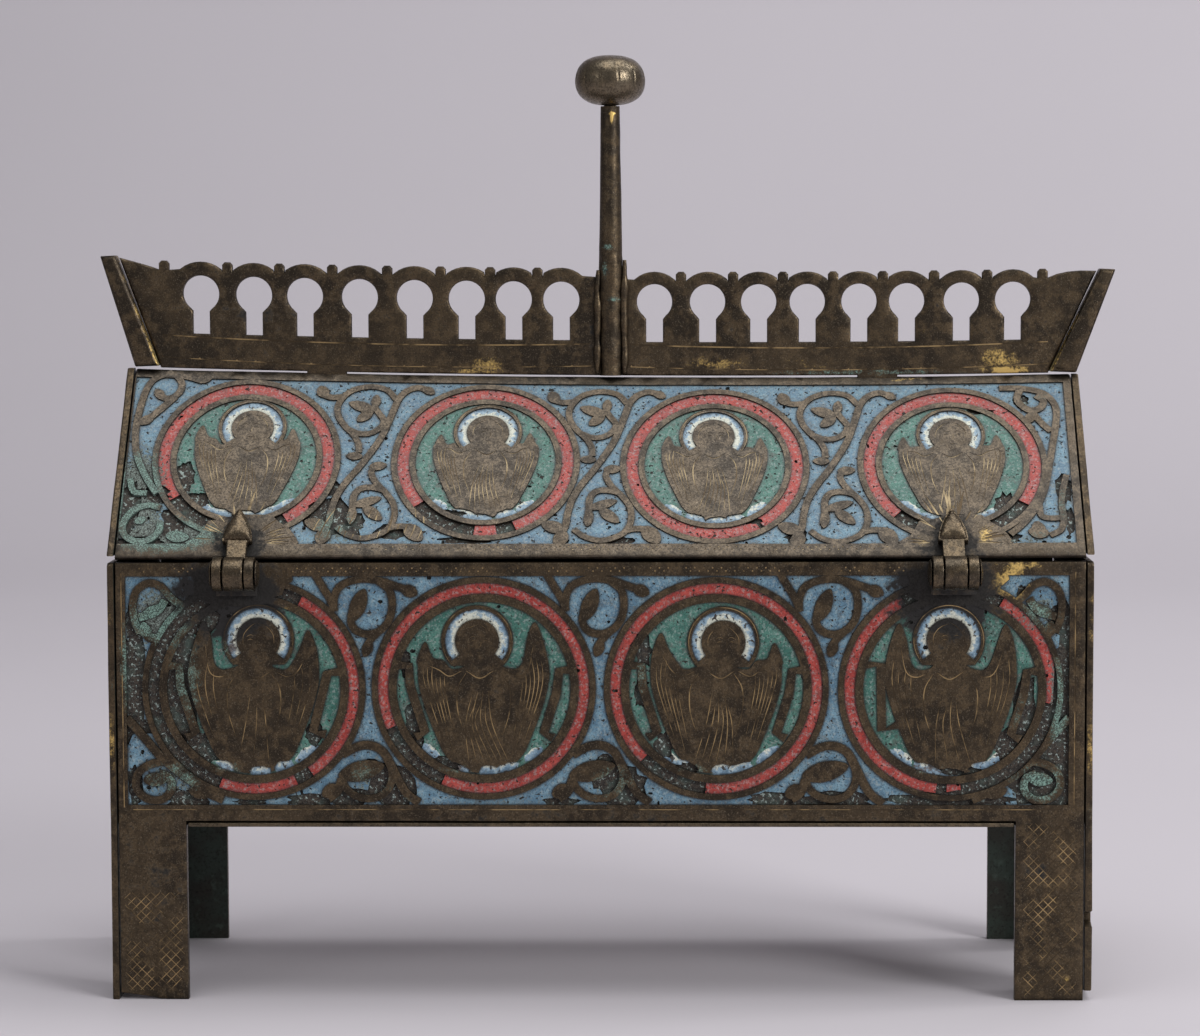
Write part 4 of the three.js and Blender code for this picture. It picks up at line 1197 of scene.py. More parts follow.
def roof_front_drawing():
    d = Drawing()
    field(d, ROOF_FIELD)
    (x0, y0), (x1, y1) = ROOF_FIELD
    for left, right in zip(ROOF_MEDALLIONS, ROOF_MEDALLIONS[1:]):
        draw_motif(d, ROOF_SCROLL, (left[0] + right[0]) / 2, (left[1] + right[1]) / 2)
    first, second, third, fourth = ROOF_MEDALLIONS
    for x, y, rx, ry, strength in [
        (x0 + 3, 14, 6, 13, 0.8),
        (x0 + 9, 5, 12, 5, 0.8),
        (first[0] - 6, y0 + 2, 8, 4, 0.5),
        (first[0] - 11, first[1] - 5, 3, 6, 0.42),
        (first[0] + 18, y0 + 4, 8, 6, 0.5),
        (second[0] - 11, second[1] - 3, 2, 7, 0.26),
        (second[0], y0 + 0.8, 50, 1.4, 0.3),
        (third[0] + 14, y0 + 3, 9, 3, 0.26),
        (fourth[0] + 12, fourth[1] + 3, 2.4, 7, 0.26),
        (x1 - 5, y1 - 4, 6, 4, 0.34),
        (x1 - 2, 12, 3, 10, 0.42),
        (x1 - 9, 4, 10, 3, 0.42),
    ]:
        d.patch("green", x, y, rx, ry, strength)
    draw_motif(d, ROOF_LEFT_END, x0, y0)
    draw_motif(d, ROOF_RIGHT_END, x1, y0, -1)
    for (x, y), figure_look in zip(ROOF_MEDALLIONS, ROOF_LOOKS):
        medallion(d, x, y, ROOF_RINGS, figure_look, ROOF_STRETCH)
    ring = (ROOF_RINGS[1] + ROOF_RINGS[2]) / 2
    for x in HINGE_X.values():
        d.fill(COPPER, rough_oval(x + 1.0, 3.2, 10.5, 6.4, 6, 0.12))
    for (x, y), start, stop in (
        (first, 214, 302),
        (second, 218, 264),
        (second, 279, 292),
        (third, 300, 303),
        (fourth, 226, 290),
        (fourth, -66, -34),
    ):
        d.lose(ribbon(arc(x, y, ring, start, stop, 24, ROOF_STRETCH), 3.0))
    for x, y, rx, ry in [
        (x0 + 1.6, 11.5, 2.0, 6.8),
        (x0 + 6.4, 14.6, 2.6, 2.2),
        (x0 + 10.6, 8.4, 2.6, 4.0),
        (x0 + 4.0, 3.6, 5.0, 1.2),
        (first[0] - 11.8, first[1] - 4.6, 1.8, 4.0),
        (first[0] - 9.0, first[1] - 10.0, 2.6, 2.0),
        (first[0] + 16.4, first[1] - 13.2, 4.6, 4.4),
        (first[0] + 20.6, first[1] - 15.4, 3.6, 3.0),
        (first[0] + 17.6, first[1] - 7.2, 1.4, 2.0),
        (second[0] - 17.4, second[1] - 17.0, 4.0, 1.8),
        (second[0] - 6.6, second[1] - 12.6, 3.0, 1.1),
        (second[0] - 3.0, second[1] - 18.8, 5.0, 0.9),
        (third[0] - 18.6, third[1] - 18.4, 2.8, 1.5),
        (third[0] + 7.0, third[1] - 13.4, 2.2, 0.9),
        (third[0] + 15.6, third[1] - 17.4, 2.2, 2.0),
        (fourth[0] + 9.8, fourth[1] - 10.0, 2.4, 3.0),
        (fourth[0] + 5.8, fourth[1] + 13.0, 3.4, 0.6),
        (x1 - 8.6, y1 - 4.6, 1.6, 1.6),
        (x1 - 1.6, 15.8, 1.7, 3.6),
        (x1 - 0.9, 8.2, 0.9, 3.6),
        (x1 - 13.6, 4.4, 3.0, 1.6),
    ]:
        d.lose(rough_oval(x, y, rx, ry, int(abs(x * 9 + y))))
    for i in range(40):
        rng = np.random.default_rng(800 + i)
        spot = (rng.uniform(x0, x1), rng.uniform(y0, y1))
        d.lose(rough_oval(*spot, rng.uniform(0.2, 0.5), rng.uniform(0.2, 0.5), 900 + i))
    dotted_line(d, second[0] - 8, HINGE_X["right"] - 12, y0 - 1.0)
    dotted_line(d, HINGE_X["left"] + 13, second[0] - 9, y0 - 1.0, 1.3)
    for name, x in HINGE_X.items():
        bright = 1.0 if name == "right" else 0.75
        for k in range(26):
            rng = np.random.default_rng(3000 + k + (50 if name == "right" else 0))
            angle = math.radians(rng.uniform(-8, 188))
            near, far = rng.uniform(5.0, 7.5), rng.uniform(8.5, 13.5)
            direction = np.array([math.cos(angle) * 0.8, abs(math.sin(angle))])
            start = np.array([x + 0.4, 3.0]) + direction * near
            end = np.array([x + 0.4, 3.0]) + direction * far + rng.uniform(-0.6, 0.6, 2)
            if end[1] > 1:
                d.line(np.linspace(start, end, 4), rng.uniform(0.2, 0.5) * bright, (0.2, 0.2))
        d.patch("gild", x + 6.5, 4.5, 2.6, 4.2, 0.5 * bright)
        d.patch("gild", x - 5.5, 3.4, 2.4, 2.8, 0.44 * bright)
        d.patch("gild", x, 11.5, 2.4, 2.4, 0.4 * bright)
    for k in range(14):
        x = first[0] + 13.5 + 1.6 * k
        d.line(smooth([(x, 3.5), (x + 1.2, 7.5), (x + 3.4 - 0.2 * k, 11.5)], 4), 0.3, (0.2, 0.2))
    # Painted highlight in gold along the flat top of the slope by the ridge.
    d.patch("gild", third[0] + 38, y1 + 1.2, 9, 0.9, 0.5)
    d.patch("green", x0 - 1.0, 12, 1.8, 16, 0.42)
    d.patch("green", x0 + 12, y0 - 1, 12, 1.2, 0.2)
    for x in HINGE_X.values():
        d.patch("dark", x, 2.0, 5.2, 8.0, 1.1)
    return d


def back_drawing(corners, medallions, rings, scroll, seed, count):
    """Quieter enamel for a side that the casket turns away: rosettes and the same scrolls."""
    (right, y0), (left, y1) = corners
    x0, x1 = -left, -right
    medallions = sorted((-x, y) for x, y in medallions)
    d = Drawing()
    field(d, ((x0, y0), (x1, y1)))
    for first, second in zip(medallions, medallions[1:]):
        draw_motif(d, scroll, (first[0] + second[0]) / 2, (first[1] + second[1]) / 2)
    for x, y in medallions:
        medallion(d, x, y, rings, None)
    rng = np.random.default_rng(seed)
    for i in range(count):
        spot = (rng.uniform(x0, x1), rng.uniform(y0, y1))
        d.lose(rough_oval(*spot, rng.uniform(0.3, 2.6), rng.uniform(0.3, 1.8), seed + i))
    straight(d, (x0, y0 - HEM), (x1, y0 - HEM), 0.18)
    return d


def end_drawing(side):
    """Engraved roundel and border on the copper of an end plate, seen from outside."""
    d = Drawing()
    low, high = box_mm("left_end_plate" if side < 0 else "right_end_plate")
    half, height = (high[1] - low[1]) / 2, high[2]
    centre = side * (high[1] + low[1]) / 2
    y = (height + 38) / 2
    for radius in (half * 0.62, half * 0.56):
        d.line(arc(centre, y, radius, 0, 359, 80), 0.24, (1, 1))
    for k in range(4):
        turn = 45 + 90 * k
        petal = leaf(*(turned([(0.08 * half, 0)], turn)[0] + (centre, y)), 0.46 * half, 0.3 * half, turn)
        d.line(np.vstack([petal, petal[:1]]), 0.22, (1, 1))
        d.line(arc(centre, y, half * 0.18, 90 * k + 10, 90 * k + 80, 10), 0.2)
    inner = half - 2.2
    corners = [(-inner, 38), (inner, 38), (inner, height - 2.4), (-inner, height - 2.4), (-inner, 38)]
    for (xa, ya), (xb, yb) in zip(corners, corners[1:]):
        straight(d, (centre + xa, ya), (centre + xb, yb), 0.22)
    for leg in (-1, 1):
        x0, x1 = sorted((centre + leg * (half - 11.2), centre + leg * (half - 0.8)))
        hatching(d, (x0, 2.5), (x1, 33), 2.0, 0.18, lambda p: value_noise(p, 5, 78) > 0.05)
    d.patch("green", centre, 36, half, 2, 0.16)
    front = side * low[1]
    for y, reach, golden in ((74, 12, 0.36), (50, 11, 0.42), (26, 7, 0.2)):
        d.patch("gild", front, y, 1.1, reach, golden)
    for y, reach in ((62, 5), (36, 9), (12, 10)):
        d.patch("green", front, y, 0.9, reach, 0.34)
    return d


def gable_drawing(side):
    """An engraved border and a small flower on a gable."""
    d = Drawing()
    low, high = box_mm("left_gable_plate" if side < 0 else "right_gable_plate")
    half = (high[1] - low[1]) / 2
    centre = side * (high[1] + low[1]) / 2
    foot, rise = low[2], high[2] - low[2]
    top = foot + rise - 5
    inner = [(-half + 6, foot + 2.4), (half - 6, foot + 2.4), (1.2, top), (-1.2, top)]
    for (xa, ya), (xb, yb) in zip(inner, inner[1:] + inner[:1]):
        straight(d, (centre + xa, ya), (centre + xb, yb), 0.22)
    y = foot + 0.36 * rise
    d.line(arc(centre, y, 7.4, 0, 359, 50), 0.22, (1, 1))
    for k in range(6):
        petal = leaf(*(turned([(1.0, 0)], 60 * k)[0] + (centre, y)), 5.4, 2.6, 60 * k)
        d.line(np.vstack([petal, petal[:1]]), 0.2, (1, 1))
    return d


def lay(piece, body, slot, *nodes):
    """Puts a piece under its body and hides the CAD nodes that it stands for. slot is not used."""
    if nodes:
        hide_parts(*nodes)
    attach(piece, body)
    return piece


def box_mm(node):
    low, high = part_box(node)
    return np.array(low) / MM, np.array(high) / MM


def upright_plate(name, node, side, axis, drawing, body, slot, seed, metal, **shape):
    """A flat upright plate. axis is the one it faces along, side -1 or 1 the way it faces."""
    low, high = box_mm(node)
    outer, inner = (low[axis], high[axis]) if side < 0 else (high[axis], low[axis])
    across_axis = 1 - axis
    turn = side if axis == 0 else -side  # which way "to the right" runs along that axis

    def spread(points, away):
        result = np.empty((len(points), 3))
        result[:, across_axis] = turn * points[:, 0]
        result[:, axis] = away
        result[:, 2] = points[:, 1]
        return result * MM

    towards = [0, 0, 0]
    towards[axis] = side
    loops = face_loops(node, towards, lambda p: np.column_stack([turn * p[:, across_axis], p[:, 2]]) / MM)
    piece = sheet_mesh(
        name,
        drawing,
        loops,
        lambda points, depth: spread(points, outer - side * depth),
        lambda points, depth: spread(points, inner + side * depth),
        plate_finishes(metal),
        seed,
        **shape,
    )
    return lay(piece, body, slot, node)


# Roof


class Slope:
    """The surface of one roof plate, with its sagging ridge, as the CAD node has it."""

    def __init__(self, node, side):
        corners, _, _ = cad_mesh(node)
        corners = corners / MM
        self.side = side
        away = corners[:, 1] * side
        self.eave, self.seam = away.max(), away.min()
        self.bottom = corners[:, 2].min()
        outer_end = away > self.eave - 0.01
        self.low_x, self.high_x = corners[outer_end, 0].min(), corners[outer_end, 0].max()
        on_top = (away < self.seam + 0.01) & (corners[:, 2] > corners[:, 2].max() - 4)
        heights = {}
        for x, _, z in corners[on_top]:
            heights[round(float(x), 2)] = max(z, heights.get(round(float(x), 2), 0))
        self.ridge_x = np.array(sorted(heights))
        self.ridge_z = np.array([heights[x] for x in self.ridge_x])
        bottoms = np.unique(np.round(away[corners[:, 2] < self.bottom + 0.01], 2))
        self.inner_eave = bottoms.min()
        tops = np.unique(np.round(away[corners[:, 2] > np.median(self.ridge_z) - 1.3], 2))
        self.shoulder = tops[tops < self.seam + 1.2].max()
        rise = np.median(self.ridge_z) - self.bottom
        self.length = math.hypot(self.eave - self.shoulder, rise)
        self.cosine = (self.eave - self.shoulder) / self.length
        self.total = self.length + self.shoulder - self.seam

    def outer(self, points, depth):
        x = points[:, 0] * -self.side
        run, flat = np.minimum(points[:, 1], self.length), np.maximum(points[:, 1] - self.length, 0)
        share = run / self.length
        ridge = np.interp(x, self.ridge_x, self.ridge_z)
        away = self.eave - share * (self.eave - self.shoulder) - flat
        z = self.bottom + share * (ridge - self.bottom)
        lean = np.where(points[:, 1] >= self.length, 0, 1 - self.cosine**2) ** 0.5
        height = z - depth * np.sqrt(1 - lean**2)
        return np.column_stack([x, self.side * (away - depth * lean), height]) * MM

    def inner(self, points, depth):
        x = points[:, 0] * -self.side
        share = points[:, 1] / self.total
        ridge = np.interp(x, self.ridge_x, self.ridge_z)
        thick = (self.eave - self.inner_eave) * math.tan(math.acos(self.cosine))
        away = self.inner_eave - share * (self.inner_eave - self.seam)
        z = self.bottom + share * (ridge - thick - self.bottom)
        return np.column_stack([x, self.side * away, z]) * MM


def roof_plate(name, node, side, drawing, seed):
    slope = Slope(node, side)
    left, right = sorted((-side * slope.low_x, -side * slope.high_x))
    outline = np.array([(left, 0), (right, 0), (right, slope.total), (left, slope.total)])
    piece = sheet_mesh(
        name, drawing, [outline], slope.outer, slope.inner, plate_finishes("roof"), seed, edge=0.28
    )
    return lay(piece, "lid", ENAMEL_SLOT, node)


# Crest, stem, knob and hinges


def crest_drawing():
    d = Drawing()
    low, high = box_mm("crest")
    stem_low, stem_high = box_mm("stem")
    ridge = stem_low[2]
    middle = (stem_low[0] + stem_high[0]) / 2
    runs = [(low[0] + 8.5, stem_low[0] - 1.5, 6.2, 5.4), (stem_high[0] + 1.5, high[0] - 9.5, 5.2, 5.6)]
    for x0, x1, first, last in runs:
        xs = np.linspace(x0, x1, 24)
        share = (xs - x0) / (x1 - x0)
        lift = ridge + first + (last - first) * share + 0.9 * np.abs(2 * share - 1) ** 2
        if x0 < middle:
            lift = lift + 1.3 * (1 - share)
        d.line(np.column_stack([xs, lift]), 0.26, (1, 1))
        for x, z in zip(xs, lift - 4.3):
            d.dot(x, z, 0.2)
        lower = np.column_stack([xs, lift - 4.4])
        d.line(lower, 0.18, (1, 1))
    for x, z, rx, rz, strength in [
        (-24, 2.3, 5.5, 2.4, 0.42),
        (-27, 0.9, 9, 0.9, 0.40),
        (-82, 3.4, 7, 2.4, 0.26),
        (-50, 9, 3, 2.4, 0.3),
        (-44, 10.0, 2.2, 2, 0.26),
        (22, 2.4, 12, 2.6, 0.34),
        (40, 2.2, 16, 2.4, 0.30),
        (78, 3.0, 6, 2.8, 0.46),
        (80, 0.8, 6, 1.2, 0.6),
        (64, 8.8, 3.4, 2.4, 0.28),
        (92, 14, 4, 5, 0.2),
        (-62, 19.5, 30, 1.6, 0.14),
        (0, 20.5, 96, 1.2, 0.12),
    ]:
        d.patch("gild", x, ridge + z, rx, rz, strength)
    d.patch("green", middle, ridge + 12, 4.2, 14, 0.34)
    d.patch("green", 52, ridge + 0.5, 30, 0.9, 0.42)
    d.patch("green", 12, ridge + 14, 6, 9, 0.1)
    d.patch("green", low[0] + 4, ridge + 12, 5, 9, 0.14)
    d.patch("dark", -70, ridge + 12, 14, 4, 0.4)
    # Painted shadow of the stem on the crest, at the stem's left.
    d.patch("dark", middle - 3, ridge + 8, 2.4, 10, 0.5)
    return d


def turned_piece(name, centre, profile, around, relief, marks, finish):
    """A closed body turned about an upright axis. The profile is (radius, height), from the bottom."""
    profile = np.array(profile, float)
    angles = np.linspace(0, 2 * math.pi, around, endpoint=False)
    radius = np.repeat(profile[1:-1, 0], around)
    place = np.repeat(profile[1:-1, 1], around)
    angle = np.tile(angles, len(profile) - 2)
    radius = np.concatenate([radius - relief(angle, place), [0, 0]])
    place = np.concatenate([place, [profile[0, 1], profile[-1, 1]]])
    angle = np.concatenate([angle, [0, 0]])
    across, along = centre[0] + radius * np.cos(angle), centre[1] + radius * np.sin(angle)
    points = np.column_stack([across, along, place])
    mesh = bpy.data.meshes.new(name)
    faces = tube_faces(len(profile) - 2, around, 0, len(place) - 2, len(place) - 1)
    mesh.from_pydata((points * MM).tolist(), [], faces)
    write_marks(mesh, {which: marks.strength(which, points[:, [0, 2]]) for which in MARKS})
    mesh.materials.append(finish)
    smoothed(mesh, TURNED_BEND)
    return placed(name, mesh)


KNOB_HALF = [
    (0.0, -1.0),
    (0.3, -0.99),
    (0.58, -0.9),
    (0.82, -0.69),
    (0.95, -0.42),
    (1.0, -0.1),
    (0.98, 0.2),
    (0.9, 0.5),
    (0.74, 0.76),
    (0.5, 0.92),
    (0.25, 0.99),
    (0.0, 1.0),
]
KNOB_LINES = 12
LINE_HALF_WIDTH = 0.2
LINE_DEPTH = 0.22


def knob():
    low, high = box_mm("knob")
    half = (high - low) / 2 - 0.05
    centre = (low + high) / 2
    profile = smooth(KNOB_HALF, 6) * (half[0], half[2]) + (0, centre[2])
    profile[:, 0] = np.clip(profile[:, 0], 0, half[0])
    pitch = 2 * math.pi / KNOB_LINES

    def relief(angle, place):
        number = np.round((angle - pitch / 2) / pitch)
        off = np.abs(angle - pitch / 2 - number * pitch) * half[0]
        height = (place - centre[2]) / half[2]
        lift = 0.12 * np.sin(2.3 * number)
        shown = np.clip((0.5 + lift - height) / 0.06, 0, 1) * np.clip((height + 0.2 - lift) / 0.06, 0, 1)
        line = LINE_DEPTH * np.clip(1 - off / LINE_HALF_WIDTH, 0, 1) * shown
        around = np.column_stack([angle * half[0], place])
        return line + 0.06 * (1 + value_noise(around, 5, 91))

    marks = Drawing()
    # Painted highlights: two short gold streaks high on the knob's right side.
    marks.patch("gild", centre[0] + 4.6, centre[2] + 1.8, 0.5, 1.6, 0.34)
    marks.patch("gild", centre[0] + 5.9, centre[2] + 1.4, 0.4, 1.6, 0.34)
    piece = turned_piece("turned_knob", centre[:2], profile, 252, relief, marks, FINISHES["knob"])
    lay(piece, "lid", COPPER_SLOT, "knob")


def stem():
    low, high = box_mm("stem")
    knob_low, _ = box_mm("knob")
    _, crest_high = box_mm("crest_right_bar")
    centre = (low + high) / 2
    foot, shoulder = low[2], knob_low[2] - 0.15
    fork = crest_high[2] + 2.6
    widest = (high[0] - low[0]) / 2 - 0.03
    top, waist = 0.76 * widest, 0.93 * widest
    sections = [(0.96 * widest, foot), (widest, foot + 6), (widest, fork - 2), (waist, fork + 1)]
    heights = np.linspace(foot, shoulder, 110)
    sections.append((top, shoulder))
    radii = np.interp(heights, [z for _, z in sections], [r for r, _ in sections])
    tenon = 0.5 * widest
    profile = [(0, foot), *zip(radii, heights), (tenon, shoulder), (tenon, high[2]), (0, high[2])]

    def relief(angle, place):
        around = np.column_stack([angle * 2.5, place])
        solder = np.clip((fork + 1.5 - place) / 2, 0, 1)
        return 0.05 * (1 + value_noise(around, 4, 92)) + solder * 0.12 * (1 + value_noise(around, 1.3, 93))

    marks = Drawing()
    marks.patch("green", centre[0] - 0.6, fork + 2.0, 1.6, 1.0, 0.5)
    marks.patch("green", centre[0] - 1.2, fork - 2.0, 0.9, 3.0, 0.42)
    marks.patch("green", centre[0] + 0.6, fork - 8.4, 2.2, 0.8, 0.5)
    marks.patch("green", centre[0] + 2.4, foot + 12, 0.8, 10, 0.4)
    marks.patch("green", centre[0] - 2.4, foot + 10, 0.8, 12, 0.3)
    marks.patch("gild", centre[0] + 0.3, shoulder - 1.4, 0.9, 0.35, 0.8)
    marks.patch("gild", centre[0] + 0.3, shoulder - 2.2, 0.35, 1.4, 0.8)
    # Painted highlight down the right side of the stem's lower part.
    marks.patch("gild", centre[0] + 1.4, foot + 0.34 * (shoulder - foot), 1, 8, 0.1)
    marks.patch("dark", centre[0] - 2.4, foot + 34, 1.6, 20, 0.35)
    piece = turned_piece("stem_rod", centre[:2], profile, 48, relief, marks, FINISHES["crest"])
    lay(piece, "lid", COPPER_SLOT, "stem")

    for side, length, seed in ((-1, 21, 94), (1, 23, 95)):
        solder = solder_bead(
            "stem_solder_left" if side < 0 else "stem_solder_right",
            (centre[0] + side * (widest + 0.25), low[1] + 1.7, foot + 0.3),
            (centre[0] + side * (widest + 0.1), low[1] + 1.8, foot + length),
            0.85,
            seed,
        )
        lay(solder, "lid", COPPER_SLOT)


def solder_bead(name, start, end, radius, seed):
    """An uneven run of old solder from one point to another, in millimetres."""
    start, end = np.array(start), np.array(end)
    rows, around = 60, 14
    share = np.linspace(0, 1, rows)
    swell = np.sin(np.pi * np.clip(share, 0.02, 0.98)) ** 0.3
    uneven = 1 + 0.4 * value_noise(np.column_stack([share * 20, share * 0]), 2.2, seed)
    path = start + share[:, None] * (end - start)
    path[:, 0] += 0.2 * value_noise(np.column_stack([share * 20, share * 0 + 9]), 4, seed)
    points = [start]
    for middle, size in zip(path, radius * swell * uneven):
        angle = np.linspace(0, 2 * math.pi, around, endpoint=False)
        ring = np.column_stack([np.cos(angle) * size, np.sin(angle) * size, 0 * angle])
        points.extend(middle + ring)
    points.append(end)
    mesh = bpy.data.meshes.new(name)
    faces = tube_faces(rows, around, 1, 0, len(points) - 1)
    mesh.from_pydata((np.array(points) * MM).tolist(), [], faces)
    mesh.materials.append(FINISHES["solder"])
    mesh.shade_smooth()
    return placed(name, mesh)


def softened(name, node, width, finish, body, slot, steps=3, marks=None):
    """A copy of a CAD node with its edges worn round."""
    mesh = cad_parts[node].data.copy()
    mesh.name = name
    mesh.materials.clear()
    mesh.materials.append(finish)
    work = bmesh.new()
    work.from_mesh(mesh)
    bmesh.ops.remove_doubles(work, verts=work.verts, dist=1e-7)
    bmesh.ops.dissolve_limit(work, angle_limit=math.radians(2), verts=work.verts, edges=work.edges)
    sharp = [e for e in work.edges if len(e.link_faces) == 2 and e.calc_face_angle() > math.radians(24)]
    bmesh.ops.bevel(
        work,
        geom=sharp,
        offset=width * MM,
        segments=steps,
        profile=0.5,
        affect="EDGES",
        clamp_overlap=True,
    )
    bmesh.ops.triangulate(work, faces=work.faces)
    work.to_mesh(mesh)
    work.free()
    if marks:
        places = np.array([v.co[:] for v in mesh.vertices]) / MM
        write_marks(mesh, {which: marks(which, places) for which in MARKS})
    smoothed(mesh, WORN_BEND)
    return lay(placed(name, mesh), body, slot, node)


TONGUE_EDGE = 2.3  # width of the slope round the crown of a hinge's tongue
TONGUE_RISE = 0.95  # crown above the leaf's flat face
TONGUE_FLATNESS = 0.52  # height of that slope as a share of its width


def tongue_crown(name, node):
    """The domed crown of a hinge's tongue, on the flat face of its leaf."""
    slope = Slope("roof_front_plate", -1)
    sine = math.sqrt(1 - slope.cosine**2)
    foot = np.array([0, -slope.eave, slope.bottom])
    upwards, outwards = np.array([0, slope.cosine, sine]), np.array([0, -sine, slope.cosine])
    corners = cad_mesh(node)[0] / MM - foot
    tongue = corners[corners @ upwards > 2]
    away = tongue @ outwards
    face = away.max()
    outline = np.column_stack([tongue[:, 0], tongue @ upwards])[away > face - 1]
    centre = outline.mean(0)
    outline = outline[np.argsort(np.arctan2(*(outline - centre).T[::-1]))]
    outline = centre + 0.97 * (outline - centre)

    def place(points, depth):
        height = face + TONGUE_RISE - TONGUE_FLATNESS * depth
        across = points[:, :1] * np.array([1, 0, 0])
        return (foot + across + points[:, 1:] * upwards + height[:, None] * outwards) * MM

    piece = sheet_mesh(
        name,
        Drawing(),
        [outline],
        place,
        lambda points, depth: place(points, depth + 2 * TONGUE_EDGE),
        plate_finishes("hinge"),
        140,
        edge=TONGUE_EDGE,
        grain=0.5,
    )
    lay(piece, "lid", COPPER_SLOT)


def hinge_marks(which, places):
    """Painted shadow on a hinge's plate close to the box, rubbed metal on the crowns of its knuckles."""
    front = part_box("front_plate")[0].y / MM
    away = front - places[:, 1]
    # Painted shadow: the closer to the front of the box, the darker.
    if which == "dark":
        return np.clip(1.4 - away / 1.6, 0, 1.2)
    if which == "gild":
        return 0.16 * np.clip(away / 6 - 0.6, 0, 1)
    return 0 * away


def bar_marks(which, places):
    """Gilding with a painted highlight along a crest bar's inner edge, and verdigris where it is soldered
    on.
    """
    flat = places[:, [0, 2]] - places[:, [0, 2]].mean(0)
    along = np.linalg.svd(flat, full_matrices=False)[2][0]
    across = flat @ np.array([-along[1], along[0]])
    inner = across * np.sign(across @ -np.abs(places[:, 0]) - across.sum() * -np.abs(places[:, 0]).mean())
    inner = inner / inner.max()
    if which == "gild":
        return 0.42 * np.clip(inner * 3 - 1.6, 0, 1)
    if which == "green":
        return 0.36 * np.clip(inner * 3 - 1.9, 0, 1)
    return 0 * inner


# Camera, stage and lights

PHOTO_WIDTH = 1200
FOCAL_PIXELS = 3370.5
CAMERA_AT = Vector((14.585, -669.73, 146.62)) * MM
CAMERA_YAW, CAMERA_PITCH, CAMERA_ROLL = 0.0238, 0.0818, -0.0038
SENSOR = 36.0


def add_camera():
    data = bpy.data.cameras.new("camera")
    data.sensor_width = SENSOR
    data.lens = FOCAL_PIXELS / PHOTO_WIDTH * SENSOR
    data.clip_start = 0.01
    camera = placed("camera", data)
    flat = Vector((-math.sin(CAMERA_YAW), math.cos(CAMERA_YAW), 0))
    right = Vector((math.cos(CAMERA_YAW), math.sin(CAMERA_YAW), 0))
    up = Vector((0, 0, 1))
    forward = flat * math.cos(CAMERA_PITCH) - up * math.sin(CAMERA_PITCH)
    above = up * math.cos(CAMERA_PITCH) + flat * math.sin(CAMERA_PITCH)
    level = right * math.cos(CAMERA_ROLL) + above * math.sin(CAMERA_ROLL)
    above = above * math.cos(CAMERA_ROLL) - right * math.sin(CAMERA_ROLL)
    turn = Matrix((level, above, -forward)).transposed().to_4x4()
    camera.matrix_world = Matrix.Translation(CAMERA_AT) @ turn
    bpy.context.scene.camera = camera


def add_stage():
    """Pale paper on the table that curves up into a backdrop."""
    depth, height, bend, width = 1.3, 1.6, 0.5, 6.0
    profile = [(-2.2, 0.0), (-0.6, 0.0), (0.3, 0.0)]
    for k in range(13):
        angle = math.radians(90 * k / 12)
        profile.append((depth - bend + bend * math.sin(angle), bend - bend * math.cos(angle)))
    profile.append((depth, height))
    profile.append((depth, 2.6))
    vertices = [(side * width / 2, y, z) for y, z in profile for side in (-1, 1)]
    faces = [(2 * i, 2 * i + 1, 2 * i + 3, 2 * i + 2) for i in range(len(profile) - 1)]
    mesh = bpy.data.meshes.new("backdrop")
    mesh.from_pydata(vertices, [], faces)
    mesh.materials.append(painted_stage("pale_paper", (0.575, 0.545, 0.58)))
    mesh.shade_smooth()
    placed("backdrop", mesh)


def add_light(name, at, towards, size, power, colour=(1, 1, 1)):
    data = bpy.data.lights.new(name, "AREA")
    data.shape = "RECTANGLE"
    data.size, data.size_y = size
    data.energy = power
    data.color = colour
    light = placed(name, data)
    light.location = at
    light.rotation_euler = (Vector(towards) - Vector(at)).to_track_quat("-Z", "Y").to_euler()


def add_lights():
    middle = (0, 0, 0.1)
    add_light("overhead", (0.1, -0.15, 1.25), middle, (1.3, 0.9), 9.2)
    add_light("right_front", (0.95, -0.85, 0.62), middle, (0.5, 0.5), 10.4)
    add_light("left_front", (-0.9, -0.95, 0.6), middle, (0.45, 0.45), 1.1)
    add_light("backdrop_right", (1.1, 0.2, 1.3), (0.35, 1.3, 1.0), (0.6, 0.6), 10)
    world = bpy.data.worlds.new("studio")
    world.use_nodes = True
    background = world.node_tree.nodes["Background"]
    background.inputs["Color"].default_value = (0.86, 0.85, 0.9, 1)
    background.inputs["Strength"].default_value = 0.26
    bpy.context.scene.world = world
    bpy.context.scene.view_settings.view_transform = "Standard"


# Building the casket

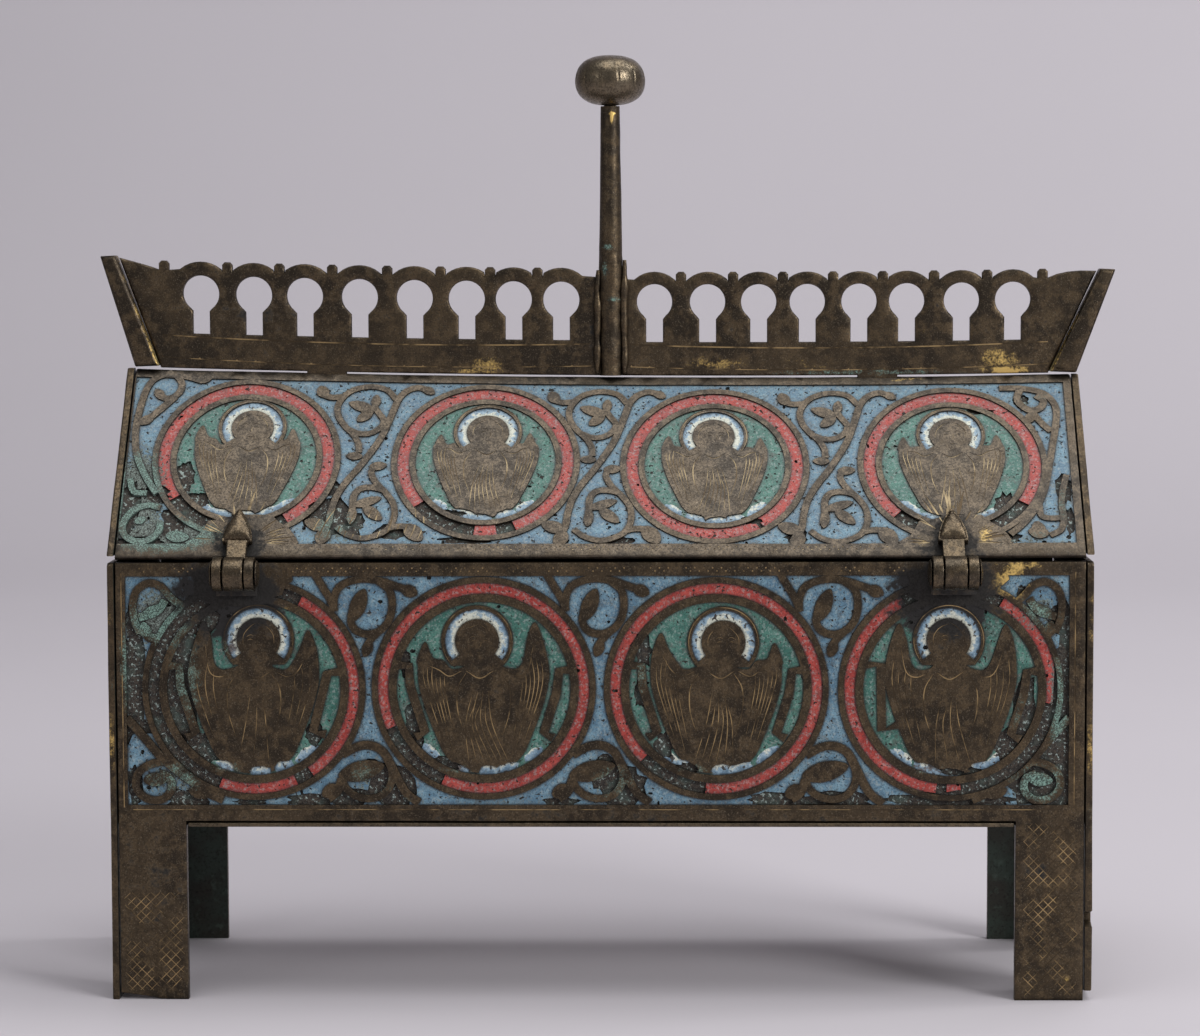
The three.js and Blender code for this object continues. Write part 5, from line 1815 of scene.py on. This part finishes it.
backs = {
    "body": back_drawing(BODY_FIELD, BODY_MEDALLIONS, BODY_RINGS, BODY_SCROLL, 4000, 70),
    "roof": back_drawing(ROOF_FIELD, ROOF_MEDALLIONS, ROOF_RINGS, ROOF_SCROLL, 5000, 60),
}
for name, node, side, drawing, seed in (
    ("enamelled_front", "front_plate", -1, body_front_drawing(), 101),
    ("enamelled_back", "back_plate", 1, backs["body"], 111),
):
    upright_plate(name, node, side, 1, drawing, "casket", ENAMEL_SLOT, seed, "plate")
for side, word in ((-1, "left"), (1, "right")):
    for part, drawing, body, seed in (
        ("end", end_drawing(side), "casket", 120),
        ("gable", gable_drawing(side), "lid", 130),
    ):
        name, node = f"{word}_{part}_sheet", f"{word}_{part}_plate"
        upright_plate(name, node, side, 0, drawing, body, COPPER_SLOT, seed + side, "plate")
roof_plate("enamelled_front_slope", "roof_front_plate", -1, roof_front_drawing(), 102)
roof_plate("enamelled_back_slope", "roof_back_plate", 1, backs["roof"], 112)
upright_plate(
    "pierced_crest",
    "crest",
    -1,
    1,
    crest_drawing(),
    "lid",
    COPPER_SLOT,
    103,
    "crest",
    edge=0.45,
    same_back=True,
    grain=1.4,
)
knob()
stem()
crest_copper, hinge_copper = FINISHES["crest"], FINISHES["hinge"]
for word in ("left", "right"):
    hinge, bar = f"{word}_hinge", f"crest_{word}_bar"
    knuckles, leaf_node = f"{hinge}_knuckles", f"{hinge}_body_leaf"
    softened(f"{word}_crest_bar", bar, 1.0, crest_copper, "lid", COPPER_SLOT, 5, bar_marks)
    softened(knuckles, leaf_node, 0.6, hinge_copper, "casket", COPPER_SLOT, 4, hinge_marks)
    softened(f"{hinge}_tongue", f"{hinge}_roof_leaf", 0.5, hinge_copper, "lid", COPPER_SLOT, 4)
    tongue_crown(f"{hinge}_crown", f"{hinge}_roof_leaf")
    softened(f"{hinge}_rod", f"{hinge}_pin", 0.15, hinge_copper, "casket", COPPER_SLOT)
softened("thin_bottom", "bottom_sheet", 0.2, FINISHES["green"], "casket", SHEET_SLOT)

add_camera()
add_stage()
add_lights()
